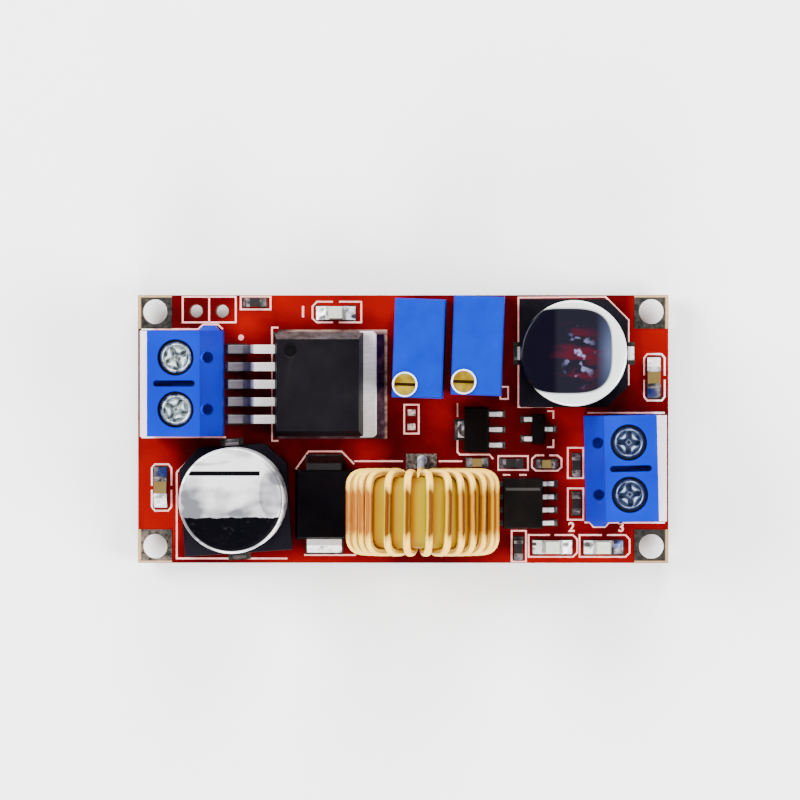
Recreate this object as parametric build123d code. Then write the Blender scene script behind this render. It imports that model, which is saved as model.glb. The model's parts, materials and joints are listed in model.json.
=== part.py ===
from build123d import *
import math
import os

# A step-down converter board with two screw terminal blocks, two multi-turn trimmers,
# a ring inductor, two can capacitors and its small surface parts. Millimetres.
# Origin: the middle of the board's underside. +X from input to output, +Y to the trimmer edge, +Z up.

# Board
board_length = 51.5
board_width = 26.0
board_thick = 1.6
pad_thick = 0.07
mount_inset_x = 1.65
mount_inset_y = 1.6
mount_hole_r = 1.2
corner_pad_margin = 0.05
corner_pad_reach = 1.65
header_inset_x = 5.67
header_inset_y = 1.54
header_pitch = 2.54
header_hole_r = 0.6
header_pad_r = 0.68
pin_reach = 1.6
pin_hole_gap = 0.12
solder_cone_height = 1.0
solder_spread = 0.65

# Screw terminal blocks
terminal_input_place = (-20.88, 4.45, 0.0)
terminal_output_place = (21.15, -3.73, 181.25)
terminal_depth = 7.0
terminal_length = 10.2
terminal_height = 10.0
terminal_flat_top = 5.08
terminal_back_height = 4.6
terminal_pitch = 5.0
terminal_wall = 0.6
terminal_well_r = 1.75
terminal_well_depth_at = 2.75
terminal_test_hole_r = 0.55
terminal_test_hole_at = 5.7
terminal_test_hole_deep = 6.0
terminal_slot_width = 0.6
terminal_slot_deep = 2.2
terminal_slot_start = 0.6
terminal_slot_end = 4.6
tongue_start = 4.75
tongue_root = 1.9
tongue_tip = 1.1
tongue_proud = 0.5
tongue_height = 4.2
tongue_gap = 0.08

# Cage, clamp plate and screw of each terminal pole
cage_width = 3.9
cage_depth = 4.0
cage_side = 0.5
cage_floor_at = 1.1
cage_floor = 0.45
cage_opening = 3.3
cage_roof = 1.0
cage_gap = 0.08
terminal_pin_width = 1.0
terminal_pin_thick = 0.8
clamp_thick = 0.5
clamp_roof_gap = 0.1
clamp_side_gap = 0.1
clamp_length = 3.4
screw_turns = 4.0
screw_pitch = 0.45
screw_shank_r = 1.2
screw_thread_gap = 0.05
screw_head_r = 1.52
screw_head_height = 1.25
screw_head_gap = 0.1
cross_width = 0.42
cross_length = 2.1
cross_deep = 0.6

# Multi-turn trimmers
trimmer_voltage_place = (1.70, 7.82, -2.0)
trimmer_current_place = (7.35, 8.08, -2.0)
trimmer_width = 4.83
trimmer_length = 9.53
trimmer_height = 10.0
trimmer_wall = 0.55
trimmer_roof = 0.9
trimmer_edge_bevel = 0.15
trimmer_base_at = 0.3
trimmer_base_thick = 1.0
trimmer_fit_gap = 0.05
trimmer_pin_pitch = 2.54
trimmer_pin_width = 0.5
trimmer_pin_inside = 0.5
trimmer_screw_x = -1.2
trimmer_screw_y = -3.5
trimmer_head_r = 1.0
trimmer_head_height = 1.0
trimmer_head_proud = 0.15
trimmer_head_gap = 0.04
trimmer_slot_width = 0.3
trimmer_slot_deep = 0.4
trimmer_lead_r = 0.5
trimmer_collar_r = 1.2
trimmer_collar_height = 0.2
trimmer_travel = 6.0
carriage_end_gap = 0.1
carriage_length = 2.4
carriage_gap = 0.08
element_thick = 0.6
element_length = 7.6
element_at_x = 1.0

# Can capacitors
capacitor_input_place = (-16.25, -6.8, 93.8)
capacitor_output_place = (16.61, 7.35, 0.0)
capacitor_base_size = 10.45
capacitor_base_height = 1.9
capacitor_base_floor = 0.8
capacitor_base_cut = 2.0
capacitor_can_r = 5.08
capacitor_total_height = 10.2
capacitor_can_gap = 0.04
capacitor_crimp_at = 1.5
capacitor_crimp_deep = 0.35
capacitor_crimp_width = 0.6
capacitor_can_fillet = 0.45
capacitor_terminal_reach = 5.5
capacitor_terminal_inner = 2.0
capacitor_terminal_width = 1.3
capacitor_terminal_thick = 0.3
capacitor_pad_width = 2.2
capacitor_pad_inner = 3.4
capacitor_pad_outer = 5.9

# Ring inductor, its axis along Y
inductor_x = 2.05
inductor_y = -7.9
core_outer_r = 6.7
core_inner_r = 3.7
core_width = 6.8
core_edge = 0.8
wire_r = 0.36
wire_gap = 0.05
wire_sides = 8
wire_corner = 0.5
inductor_seat_gap = 0.15
seen_turns = (-75, -61, -53, -46, -29, -12, 4.5, 18.6, 29, 39, 51, 61, 73)
hidden_turns_left = 6
hidden_turns_right = 7
hidden_step_left = 15.0
hidden_step_right = 13.2
bore_step = 13.2
bore_middle = 0.5
lead_front_y = 2.2
lead_rear_x = -0.26
lead_rear_y = 4.78
lead_rear_rise = 1.2
wire_pad_length = 3.0
wire_pad_width = 1.45

# Solder and lands at the ends of leads
lead_pad_margin = 0.12
lead_solder_reach = 0.25

# Power package with five leads and a tab
regulator_x = -8.15
regulator_y = 4.35
regulator_length = 8.7
regulator_width = 10.1
regulator_height = 4.45
regulator_parting = 1.9
regulator_draft = 0.38
tab_reach = 1.27
tab_thick = 1.27
tab_inside = 6.5
tab_width = 9.2
tab_flange_width = 10.3
tab_corner = 0.3
regulator_pitch = 1.70
regulator_lead_width = 0.85
regulator_lead_thick = 0.45
regulator_lead_top = 2.6
regulator_lead_shoulder = 1.75
regulator_lead_knee = 2.85
regulator_lead_tip = 4.5
regulator_dimple_r = 0.57
regulator_dimple_deep = 0.15
regulator_dimple_inset = 1.3
regulator_stand = 0.05
thermal_pad_length = 10.6
thermal_pad_width = 10.6
thermal_pad_beyond = 1.0
tab_solder_reach = 0.7
tab_solder_share = 0.6

# Large rectifier
diode_x = -7.62
diode_y = -7.31
diode_width = 5.6
diode_length = 6.8
diode_height = 2.3
diode_draft = 0.25
diode_stand = 0.15
diode_lead_width = 3.35
diode_lead_thick = 0.22
diode_lead_reach = 4.0
diode_lead_inner = 2.7
diode_pad_outer = 4.85

# Three-lead package with a tab
bias_place = (7.17, -0.05, 0.0)
bias_length = 2.45
bias_width = 4.4
bias_height = 1.5
bias_draft = 0.12
bias_lead_thick = 0.4
bias_lead_pitch = 1.5
bias_lead_width = 0.45
bias_lead_reach = 2.48
bias_tab_width = 1.6
bias_tab_reach = 1.84
bias_tab_inside = 0.4
bias_pad_length = 1.3
bias_pad_back = 0.35
bias_tab_pad_length = 1.6
bias_tab_pad_back = 0.45

# Small three-lead package
reference_place = (13.15, 0.0, 0.0)
reference_length = 1.3
reference_width = 2.9
reference_height = 1.0
reference_stand = 0.08
reference_pair_pitch = 1.9
reference_lead_reach = 1.4

# Eight-lead package
amplifier_place = (11.66, -7.2, 0.0)
amplifier_length = 3.9
amplifier_width = 4.9
amplifier_height = 1.55
amplifier_stand = 0.12
amplifier_pitch = 1.27
amplifier_lead_reach = 3.0

# Shared by the two gull-wing packages
small_lead_width = 0.42
small_lead_thick = 0.2
small_foot = 0.55
small_draft = 0.1

# Chip parts: length, width, height, end cap length, solder reach past an end
resistor_size = (1.6, 0.8, 0.45, 0.32, 0.3)
capacitor_0805 = (2.1, 1.25, 0.95, 0.48, 0.9)
capacitor_0603 = (1.6, 0.8, 0.8, 0.34, 0.25)
led_size = (2.0, 1.3, 0.3, 0.25, 0.9)
led_lens_height = 0.5
led_lens_gap = 0.03
led_lens_taper = 0.25
chip_cap_proud = 0.03
chip_solder_share = 0.8
chip_pad_margin = 0.1
resistor_places = (
    (-14.38, 12.29, 0),
    (10.49, -3.34, 0),
    (16.82, -3.50, 90),
    (16.82, -7.22, 90),
    (11.21, -11.60, 90),
)
capacitor_0805_places = ((-23.56, -5.66, 90), (24.35, 5.0, 90))
capacitor_0603_places = ((13.98, -3.38, 0), (7.2, -3.25, 0))
led_places = ((-6.52, 11.26, 0), (14.5, -11.46, 0), (19.46, -11.47, 0))
spare_land_place = (0.83, 0.9)
spare_land_pitch = 1.37
spare_land_size = (0.75, 0.62)

# Worked out from the sizes above
on_base = (Align.CENTER, Align.CENTER, Align.MIN)
top = board_thick
screw_travel = screw_turns * screw_pitch
cage_roof_at = cage_floor_at + cage_floor + cage_opening
cage_top = cage_roof_at + cage_roof
cage_inside = cage_width - 2 * cage_side
screw_head_at = cage_top + screw_head_gap + screw_travel
clamp_top = cage_roof_at - clamp_roof_gap
header_x = header_inset_x - board_length / 2
header_y = board_width / 2 - header_inset_y
trimmer_top = trimmer_height - trimmer_roof
trimmer_base_top = trimmer_base_at + trimmer_base_thick
carriage_floor = trimmer_base_top + trimmer_pin_inside
carriage_middle = (carriage_floor + trimmer_top) / 2
carriage_height = trimmer_top - carriage_floor - trimmer_travel - 2 * carriage_end_gap
winding_r = core_outer_r + wire_gap + wire_r
winding_bore_r = core_inner_r - wire_gap - wire_r
winding_y = core_width / 2 + wire_gap + wire_r
inductor_z = top + inductor_seat_gap + winding_r + wire_r

nodes = {}
drilled = []


def keep(node, place, *shapes):
    """Adds every solid of the shapes, moved to its place, to a node."""
    for shape in shapes:
        nodes.setdefault(node, []).extend((place * shape).solids())


def at(place, height=top):
    """Where a part with the place (x, y, turn) stands."""
    return Pos(place[0], place[1], height) * Rot(0, 0, place[2])


def block(length, width, height, x=0.0, y=0.0, z=0.0):
    """A box that stands on z."""
    return Pos(x, y, z) * Box(length, width, height, align=on_base)


def post(radius, height, x=0.0, y=0.0, z=0.0):
    """A cylinder that stands on z."""
    return Pos(x, y, z) * Cylinder(radius, height, align=on_base)


def side_prism(points, width):
    """A side outline in X and Z carried across Y, centred."""
    outline = Plane.XZ * make_face(Polyline(*points, close=True))
    return extrude(outline, width / 2, both=True)


def strip(points, thickness, width):
    """A bent flat strip whose middle line runs through X and Z points."""
    above = []
    below = []
    for i, (x, z) in enumerate(points):
        before = points[max(i - 1, 0)]
        after = points[min(i + 1, len(points) - 1)]
        into = Vector(x - before[0], z - before[1]) if i else None
        out = Vector(after[0] - x, after[1] - z) if i < len(points) - 1 else None
        into = (into or out).normalized()
        out = (out or into).normalized()
        bisector = (into + out).normalized()
        reach = thickness / 2 / max(bisector.dot(out), 0.3)
        above.append((x - bisector.Y * reach, z + bisector.X * reach))
        below.append((x + bisector.Y * reach, z - bisector.X * reach))
    return side_prism(above + below[::-1], width)


def moulded(length, width, bottom, parting, height, draft):
    """A moulded package: both halves taper away from the parting line."""
    middle = Rectangle(length, width)
    end = Rectangle(length - 2 * draft, width - 2 * draft)
    lower = loft([Pos(0, 0, bottom) * end, Pos(0, 0, parting) * middle])
    upper = loft([Pos(0, 0, parting) * middle, Pos(0, 0, height) * end])
    return lower + upper


def pad(place, length, width, x=0.0, y=0.0):
    """A tinned land on the board's top."""
    keep("solder_pads", at(place), block(length, width, pad_thick, x, y))


def fillet_wedge(place, edge, reach, height, width, x_sign=1, y=0.0):
    """A solder wedge on its land, from an end face at edge outwards."""
    foot = [(edge, pad_thick), (edge + reach, pad_thick), (edge, pad_thick + height)]
    points = [(x_sign * x, z) for x, z in foot]
    wedge = Pos(0, y, 0) * side_prism(points, width)
    keep("top_solder_joints", at(place), wedge)


def pin_joint(place, x, y, size_x, size_y):
    """The drilled hole of a pin, and its solder cone on the underside."""
    radius = math.hypot(size_x, size_y) / 2 + pin_hole_gap
    spot = at(place, 0) * Pos(x, y, 0)
    drilled.append(spot * post(radius, board_thick))
    cone = Cone(radius * 0.7, radius + solder_spread, solder_cone_height, align=on_base)
    cone = Pos(0, 0, -solder_cone_height) * cone
    cone -= block(size_x, size_y, solder_cone_height, z=-solder_cone_height)
    keep("bottom_solder_joints", spot, cone)


# Terminal blocks
def terminal_housing():
    """The moulded block: u runs from the wire side (-X) to the sloping back."""
    start = -terminal_depth / 2
    crease = start + terminal_flat_top
    profile = [
        (start, 0),
        (-start, 0),
        (-start, terminal_back_height),
        (crease, terminal_height),
        (start, terminal_height),
    ]
    body = side_prism(profile, terminal_length)
    tongue_x = start + tongue_start + tongue_root / 2

    def tongue(grow, y):
        root = tongue_root / 2 + grow
        tip = tongue_tip / 2 + grow
        outline = [(-root, 0), (root, 0), (tip, tongue_proud), (-tip, tongue_proud)]
        face = make_face(Polyline(*outline, close=True))
        return Pos(tongue_x, y, 0) * extrude(face, tongue_height + grow)

    body += tongue(0, terminal_length / 2)
    body -= tongue(tongue_gap, -terminal_length / 2)
    slot_x = start + (terminal_slot_start + terminal_slot_end) / 2
    slot_length = terminal_slot_end - terminal_slot_start
    slot_z = terminal_height - terminal_slot_deep
    slot_r = terminal_slot_width / 2
    body -= block(slot_length - 2 * slot_r, terminal_slot_width, terminal_slot_deep, slot_x, 0, slot_z)
    for end in (slot_x - slot_length / 2 + slot_r, slot_x + slot_length / 2 - slot_r):
        body -= post(slot_r, terminal_slot_deep, end, 0, slot_z)
    well_x = start + terminal_well_depth_at
    cage_bottom = cage_floor_at - cage_gap
    chamber_length = terminal_well_depth_at - terminal_wall + cage_depth / 2 + cage_gap
    chamber_x = start + terminal_wall + chamber_length / 2
    chamber_height = cage_top + cage_gap - cage_bottom
    for y in (terminal_pitch / 2, -terminal_pitch / 2):
        body -= post(terminal_well_r, terminal_height, well_x, y, cage_top)
        body -= block(chamber_length, cage_width + 2 * cage_gap, chamber_height, chamber_x, y, cage_bottom)
        body -= block(2 * terminal_wall, cage_inside, cage_opening, start, y, cage_floor_at + cage_floor)
        pin_room_x = terminal_pin_width + 2 * cage_gap
        pin_room_y = terminal_pin_thick + 2 * cage_gap
        body -= block(pin_room_x, pin_room_y, cage_floor_at, well_x, y)
        test_x = start + terminal_test_hole_at
        test_z = terminal_height - terminal_test_hole_deep
        body -= post(terminal_test_hole_r, terminal_height, test_x, y, test_z)
    return body


def terminal_cage():
    """A folded cage round the wire space, its roof threaded for the screw, with its pin."""
    outer_height = cage_top - cage_floor_at
    cage = block(cage_depth, cage_width, outer_height, z=cage_floor_at)
    window_z = cage_floor_at + cage_floor
    cage -= block(2 * cage_depth, cage_inside, cage_opening, z=window_z)
    cage -= post(screw_shank_r + screw_thread_gap, 2 * cage_roof, z=cage_roof_at - cage_roof / 2)
    pin_length = cage_floor_at + board_thick + pin_reach
    pin_z = cage_floor_at - pin_length
    return cage + block(terminal_pin_width, terminal_pin_thick, pin_length, z=pin_z)


def terminal_clamp():
    """The pressure plate under the screw, its two ends turned down."""
    width = cage_inside - 2 * clamp_side_gap
    plate = block(clamp_length, width, clamp_thick, z=clamp_top - clamp_thick)
    return chamfer(plate.edges().filter_by(Axis.Y).group_by(Axis.Z)[0], clamp_thick * 0.4)


def terminal_screw():
    """A cheese-head screw with a cross recess, its tip on the clamp plate."""
    head = post(screw_head_r, screw_head_height, z=screw_head_at)
    head = chamfer(head.edges().group_by(Axis.Z)[-1], 0.15)
    recess_z = screw_head_at + screw_head_height - cross_deep
    head -= block(cross_length, cross_width, cross_deep, z=recess_z)
    head -= block(cross_width, cross_length, cross_deep, z=recess_z)
    return head + post(screw_shank_r, screw_head_at - clamp_top, z=clamp_top)


def terminal_block(name, place):
    spot = at(place)
    well_x = -terminal_depth / 2 + terminal_well_depth_at
    keep(f"{name}_terminal_housing", spot, terminal_housing())
    # The rear pole is the one nearer the trimmer edge, on whichever side it is turned.
    turned = math.cos(math.radians(place[2]))
    for side, label in ((1, "rear"), (-1, "front")):
        y = math.copysign(terminal_pitch / 2, side * turned)
        pole = spot * Pos(well_x, y, 0)
        keep(f"{name}_terminal_contacts", pole, terminal_cage())
        keep(f"{name}_clamp_{label}", pole, terminal_clamp())
        keep(f"{name}_screw_{label}", pole, terminal_screw())
        pin_joint(place, well_x, y, terminal_pin_width, terminal_pin_thick)


# Trimmers
def trimmer_case():
    case = block(trimmer_width, trimmer_length, trimmer_height)
    case = chamfer(case.edges().group_by(Axis.Z)[-1], trimmer_edge_bevel)
    inside_width = trimmer_width - 2 * trimmer_wall
    inside_length = trimmer_length - 2 * trimmer_wall
    case -= block(inside_width, inside_length, trimmer_top)
    neck = trimmer_head_r + trimmer_head_gap
    case -= post(neck, trimmer_height, trimmer_screw_x, trimmer_screw_y)
    return case


def trimmer_lead_screw():
    """Slotted head in the roof, lead screw below it down to the base plate."""
    head_top = trimmer_height + trimmer_collar_height + trimmer_head_proud
    head_bottom = head_top - trimmer_head_height
    head = post(trimmer_head_r, trimmer_head_height, z=head_bottom)
    head -= block(3 * trimmer_head_r, trimmer_slot_width, trimmer_slot_deep, z=head_top - trimmer_slot_deep)
    shank_z = trimmer_base_top
    return head + post(trimmer_lead_r, head_bottom - shank_z, z=shank_z)


def trimmer_wiper_carriage():
    """The block that the lead screw drives along the element, with its contact nose."""
    wall_x = -trimmer_width / 2 + trimmer_wall + carriage_gap - trimmer_screw_x
    nose_x = element_at_x - carriage_gap - trimmer_screw_x
    length = nose_x - wall_x
    z = carriage_middle - carriage_height / 2
    wall_y = -trimmer_length / 2 + trimmer_wall + carriage_gap - trimmer_screw_y
    y = wall_y + carriage_length / 2
    body = block(length, carriage_length, carriage_height, (wall_x + nose_x) / 2, y, z)
    return body - post(trimmer_lead_r + carriage_gap, carriage_height, z=z)


def trimmer(name, place):
    spot = at(place)
    screw_spot = spot * Pos(trimmer_screw_x, trimmer_screw_y, 0)
    fit = 2 * (trimmer_wall + trimmer_fit_gap)
    base = block(trimmer_width - fit, trimmer_length - fit, trimmer_base_thick, z=trimmer_base_at)
    pin_length = trimmer_base_top + trimmer_pin_inside + board_thick + pin_reach
    collar = post(trimmer_collar_r, trimmer_collar_height, z=trimmer_height)
    collar -= post(trimmer_head_r + trimmer_head_gap, trimmer_collar_height, z=trimmer_height)
    for i in (-1, 0, 1):
        y = i * trimmer_pin_pitch
        pin = block(trimmer_pin_width, trimmer_pin_width, pin_length, 0, y, -board_thick - pin_reach)
        keep(f"{name}_trimmer_pins", spot, pin)
        base -= pin
        pin_joint(place, 0, y, trimmer_pin_width, trimmer_pin_width)
    element_height = trimmer_top - trimmer_base_top
    element_x = element_at_x + element_thick / 2
    element = block(element_thick, element_length, element_height, element_x, 0, trimmer_base_top)
    keep(f"{name}_trimmer_housing", spot, trimmer_case())
    keep(f"{name}_trimmer_base", spot, base)
    keep(f"{name}_trimmer_screw", screw_spot, trimmer_lead_screw())
    keep(f"{name}_trimmer_collar", screw_spot, collar)
    keep(f"{name}_trimmer_carriage", screw_spot, trimmer_wiper_carriage())
    keep(f"{name}_trimmer_element", spot, element)


# Can capacitors
def capacitor_base():
    """Square seat with two cut corners on the positive side and the can's round socket."""
    half = capacitor_base_size / 2
    cut = capacitor_base_cut
    outline = [(-half, -half), (half - cut, -half), (half, cut - half)]
    outline += [(half, half - cut), (half - cut, half), (-half, half)]
    base = extrude(make_face(Polyline(*outline, close=True)), capacitor_base_height)
    socket_r = capacitor_can_r + capacitor_can_gap
    base -= post(socket_r, capacitor_base_height, z=capacitor_base_floor)
    for side in (1, -1):
        base -= capacitor_terminal(side)
    return base


def capacitor_terminal(side):
    length = capacitor_terminal_reach - capacitor_terminal_inner
    x = side * (capacitor_terminal_reach + capacitor_terminal_inner) / 2
    return block(length, capacitor_terminal_width, capacitor_terminal_thick, x)


def capacitor_can():
    """The drawn can: a crimped waist near the seat and a rounded top edge."""
    r = capacitor_can_r
    height = capacitor_total_height - capacitor_base_floor
    waist = r - capacitor_crimp_deep
    crimp = capacitor_crimp_at
    half = capacitor_crimp_width / 2
    outline = [(0, 0), (r, 0), (r, crimp - half), (waist, crimp), (r, crimp + half)]
    outline += [(r, height), (0, height)]
    side = Plane.XZ * make_face(Polyline(*outline, close=True))
    can = revolve(side, Axis.Z)
    can = fillet(can.edges().group_by(Axis.Z)[-1], capacitor_can_fillet)
    return Pos(0, 0, capacitor_base_floor) * can


def can_capacitor(name, place):
    spot = at(place, top + pad_thick)
    keep(f"{name}_capacitor_base", spot, capacitor_base())
    keep(f"{name}_capacitor_can", spot, capacitor_can())
    pad_length = capacitor_pad_outer - capacitor_pad_inner
    for side in (1, -1):
        keep(f"{name}_capacitor_terminals", spot, capacitor_terminal(side))
        x = side * (capacitor_pad_outer + capacitor_pad_inner) / 2
        pad(place, pad_length, capacitor_pad_width, x)
        reach = (capacitor_pad_outer - capacitor_terminal_reach) * 0.8
        width = capacitor_terminal_width
        fillet_wedge(place, capacitor_terminal_reach, reach, capacitor_terminal_thick, width, side)


# Inductor
def ring_point(angle, radius, y):
    """A point at an angle from the top of the ring, whose axis lies along Y."""
    a = math.radians(angle)
    return Vector(radius * math.sin(a), y, radius * math.cos(a))


def winding_path():
    """The wire's middle line: under the board, round the ring turn by turn, and back."""
    first = seen_turns[0]
    last = seen_turns[-1]
    outer = [first - hidden_step_left * k for k in range(hidden_turns_left, 0, -1)]
    outer += list(seen_turns)
    outer += [last + hidden_step_right * (k + 1) for k in range(hidden_turns_right)]
    middle = hidden_turns_left + len(seen_turns) // 2
    bore = [bore_middle + bore_step * (k - middle) for k in range(len(outer) + 1)]
    under = -inductor_z - pin_reach
    start = ring_point(outer[0], winding_r, lead_front_y)
    corners = [Vector(start.X, start.Y, under), start]
    for k, angle in enumerate(outer):
        if k:
            corners.append(ring_point(angle, winding_r, winding_y))
        corners.append(ring_point(angle, winding_r, -winding_y))
        corners.append(ring_point(bore[k], winding_bore_r, -winding_y))
        corners.append(ring_point(bore[k + 1], winding_bore_r, winding_y))
    exit_z = -winding_r + wire_corner
    corners.append(Vector(lead_rear_x, winding_y, exit_z + lead_rear_rise))
    corners.append(Vector(lead_rear_x, lead_rear_y, exit_z))
    corners.append(Vector(lead_rear_x, lead_rear_y, under))
    path = [corners[0]]
    for before, here, after in zip(corners, corners[1:], corners[2:]):
        cut = min(wire_corner, 0.4 * (before - here).length, 0.4 * (after - here).length)
        path.append(here + (before - here).normalized() * cut)
        path.append(here + (after - here).normalized() * cut)
    path.append(corners[-1])
    return path


def mitred_wire(path, radius, sides):
    """A closed solid of flat faces: one polygon carried along the path, mitred at each bend."""
    along = [(b - a).normalized() for a, b in zip(path, path[1:])]
    across = along[0].cross(Vector(0.3, 1, 0.2)).normalized()
    other = along[0].cross(across)
    steps = [2 * math.pi * (i + 0.5) / sides for i in range(sides)]
    ring = [path[0] + across * (radius * math.cos(s)) + other * (radius * math.sin(s)) for s in steps]
    faces = [Face(Wire.make_polygon(ring[::-1], close=True))]
    for i, direction in enumerate(along):
        end = path[i + 1]
        normal = direction if i == len(along) - 1 else (direction + along[i + 1]).normalized()
        slide = normal.dot(direction)
        moved = [p + direction * ((end - p).dot(normal) / slide) for p in ring]
        for k in range(sides):
            n = (k + 1) % sides
            faces.append(Face(Wire.make_polygon([ring[k], ring[n], moved[n], moved[k]], close=True)))
        ring = moved
    faces.append(Face(Wire.make_polygon(ring, close=True)))
    return Solid(Shell(faces))


def inductor():
    spot = Pos(inductor_x, inductor_y, inductor_z)
    ring = Cylinder(core_outer_r, core_width) - Cylinder(core_inner_r, core_width)
    ring = chamfer(ring.edges().filter_by(GeomType.CIRCLE), core_edge)
    keep("inductor_core", spot, Rot(90, 0, 0) * ring)
    path = winding_path()
    keep("inductor_winding", spot, mitred_wire(path, wire_r, wire_sides))
    place = (inductor_x, inductor_y, 0)
    for end in (path[0], path[-1]):
        wire_joint(place, end.X, end.Y)
    hole = post(wire_r + pin_hole_gap, pad_thick, lead_rear_x, lead_rear_y)
    land = block(wire_pad_length, wire_pad_width, pad_thick, lead_rear_x, lead_rear_y) - hole
    keep("solder_pads", at(place), land)


def wire_joint(place, x, y):
    """Hole and underside solder of a round wire end."""
    radius = wire_r + pin_hole_gap
    spot = at(place, 0) * Pos(x, y, 0)
    drilled.append(spot * post(radius, board_thick))
    cone = Cone(radius * 1.1, radius + solder_spread, solder_cone_height, align=on_base)
    cone -= post(wire_r + 0.01, solder_cone_height)
    keep("bottom_solder_joints", spot, Pos(0, 0, -solder_cone_height) * cone)


# Power package
def regulator():
    place = (regulator_x, regulator_y, 0)
    spot = at(place, top + pad_thick)
    half = regulator_length / 2
    size = (regulator_length, regulator_width)
    body = moulded(*size, regulator_stand, regulator_parting, regulator_height, regulator_draft)
    flange_length = tab_reach + regulator_draft
    flange = block(flange_length, tab_flange_width, tab_thick, half + tab_reach - flange_length / 2)
    outer_edges = flange.edges().filter_by(Axis.Z).group_by(Axis.X)[-1]
    flange = chamfer(outer_edges, tab_corner)
    tab = flange + block(tab_inside, tab_width, tab_thick, half - tab_inside / 2)
    dimple_x = regulator_dimple_inset - half + regulator_draft
    dimple_y = regulator_width / 2 - regulator_draft - regulator_dimple_inset
    dimple_z = regulator_height - regulator_dimple_deep
    body -= tab
    body -= post(regulator_dimple_r, regulator_height, dimple_x, dimple_y, dimple_z)
    rise = regulator_lead_thick / 2
    foot_z = rise
    run = [
        (-half + regulator_draft, regulator_lead_top),
        (-half - regulator_lead_shoulder, regulator_lead_top),
        (-half - regulator_lead_knee, foot_z),
        (-half - regulator_lead_tip, foot_z),
    ]
    lead = strip(run, regulator_lead_thick, regulator_lead_width)
    keep("regulator_tab", spot, tab)
    pad_length = regulator_lead_tip - regulator_lead_knee + 4 * lead_pad_margin
    pad_x = -half - (regulator_lead_tip + regulator_lead_knee) / 2
    for i in (-2, -1, 0, 1, 2):
        y = i * regulator_pitch
        piece = Pos(0, y, 0) * lead
        body -= piece
        keep("regulator_leads", spot, piece)
        pad(place, pad_length, regulator_lead_width + 2 * lead_pad_margin, pad_x, y)
        tip = half + regulator_lead_tip
        fillet_wedge(place, tip, lead_solder_reach, regulator_lead_thick, regulator_lead_width, -1, y)
    keep("regulator_body", spot, body)
    thermal_x = half + tab_reach + thermal_pad_beyond - thermal_pad_length / 2
    pad(place, thermal_pad_length, thermal_pad_width, thermal_x)
    solder_height = tab_thick * tab_solder_share
    solder_width = tab_flange_width - 2 * tab_corner
    fillet_wedge(place, half + tab_reach, tab_solder_reach, solder_height, solder_width)


# Rectifier
def diode():
    place = (diode_x, diode_y, 90)
    spot = at(place, top + pad_thick)
    middle = (diode_stand + diode_height) / 2
    body = moulded(diode_length, diode_width, diode_stand, middle, diode_height, diode_draft)
    outer = diode_lead_reach - diode_lead_thick / 2
    low = diode_lead_thick / 2
    start = diode_length / 2 - diode_draft
    run = [(start, middle), (outer, middle), (outer, low), (diode_lead_inner, low)]
    for side in (1, -1):
        lead = strip([(side * x, z) for x, z in run], diode_lead_thick, diode_lead_width)
        body -= lead
        keep("diode_terminals", spot, lead)
        pad_length = diode_pad_outer - diode_lead_inner
        pad(place, pad_length, diode_lead_width + 0.3, side * (diode_pad_outer + diode_lead_inner) / 2)
        reach = (diode_pad_outer - diode_lead_reach) * 0.8
        fillet_wedge(place, diode_lead_reach, reach, diode_height * 0.35, diode_lead_width, side)
    keep("diode_body", spot, body)


# Small packages
def bias_regulator():
    spot = at(bias_place, top + pad_thick)
    body = moulded(bias_length, bias_width, 0, bias_height / 2, bias_height, bias_draft)
    reach = bias_lead_reach
    plate_length = bias_tab_reach + bias_tab_inside
    plate = block(plate_length, bias_tab_width, bias_lead_thick, (bias_tab_inside - bias_tab_reach) / 2)
    plate += block(reach, bias_lead_width, bias_lead_thick, reach / 2)
    side_length = reach - bias_length / 2 + 0.3
    side_x = reach - side_length / 2
    solids = [plate]
    for side in (1, -1):
        y = side * bias_lead_pitch
        solids.append(block(side_length, bias_lead_width, bias_lead_thick, side_x, y))
    for solid in solids:
        body -= solid
        keep("bias_regulator_leads", spot, solid)
    keep("bias_regulator_body", spot, body)
    for i in (-1, 0, 1):
        y = i * bias_lead_pitch
        pad(bias_place, bias_pad_length, bias_lead_width + 2 * lead_pad_margin, reach - bias_pad_back, y)
        fillet_wedge(bias_place, reach, lead_solder_reach, bias_lead_thick, bias_lead_width, 1, y)
    tab_pad_x = bias_tab_pad_back - bias_tab_reach
    pad(bias_place, bias_tab_pad_length, bias_tab_width + 4 * lead_pad_margin, tab_pad_x)
    fillet_wedge(bias_place, bias_tab_reach, lead_solder_reach, bias_lead_thick, bias_tab_width, -1)


def gull_wing(start, reach, height):
    """A small lead from a package side at start down to its foot, towards +X."""
    low = small_lead_thick / 2
    shoulder = start + 0.3 * (reach - small_foot - start) + 0.1
    run = [(start - small_draft, height), (shoulder, height), (reach - small_foot, low), (reach, low)]
    return strip(run, small_lead_thick, small_lead_width)


def small_package(name, place, size, stand, reach, rows):
    """A moulded package with gull-wing leads: rows lists the side and the Y of each lead."""
    length, width, height = size
    spot = at(place, top + pad_thick)
    parting = (stand + height) / 2
    body = moulded(length, width, stand, parting, height, small_draft)
    lead = gull_wing(length / 2, reach, parting)
    for side, y in rows:
        piece = Pos(0, y, 0) * (lead if side > 0 else Rot(0, 0, 180) * lead)
        body -= piece
        keep(f"{name}_leads", spot, piece)
        pad_length = small_foot + 4 * lead_pad_margin
        pad_x = side * (reach - small_foot / 2 + lead_pad_margin)
        pad(place, pad_length, small_lead_width + 2 * lead_pad_margin, pad_x, y)
        fillet_wedge(place, reach, lead_solder_reach, small_lead_thick, small_lead_width, side, y)
    keep(f"{name}_body", spot, body)


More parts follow.
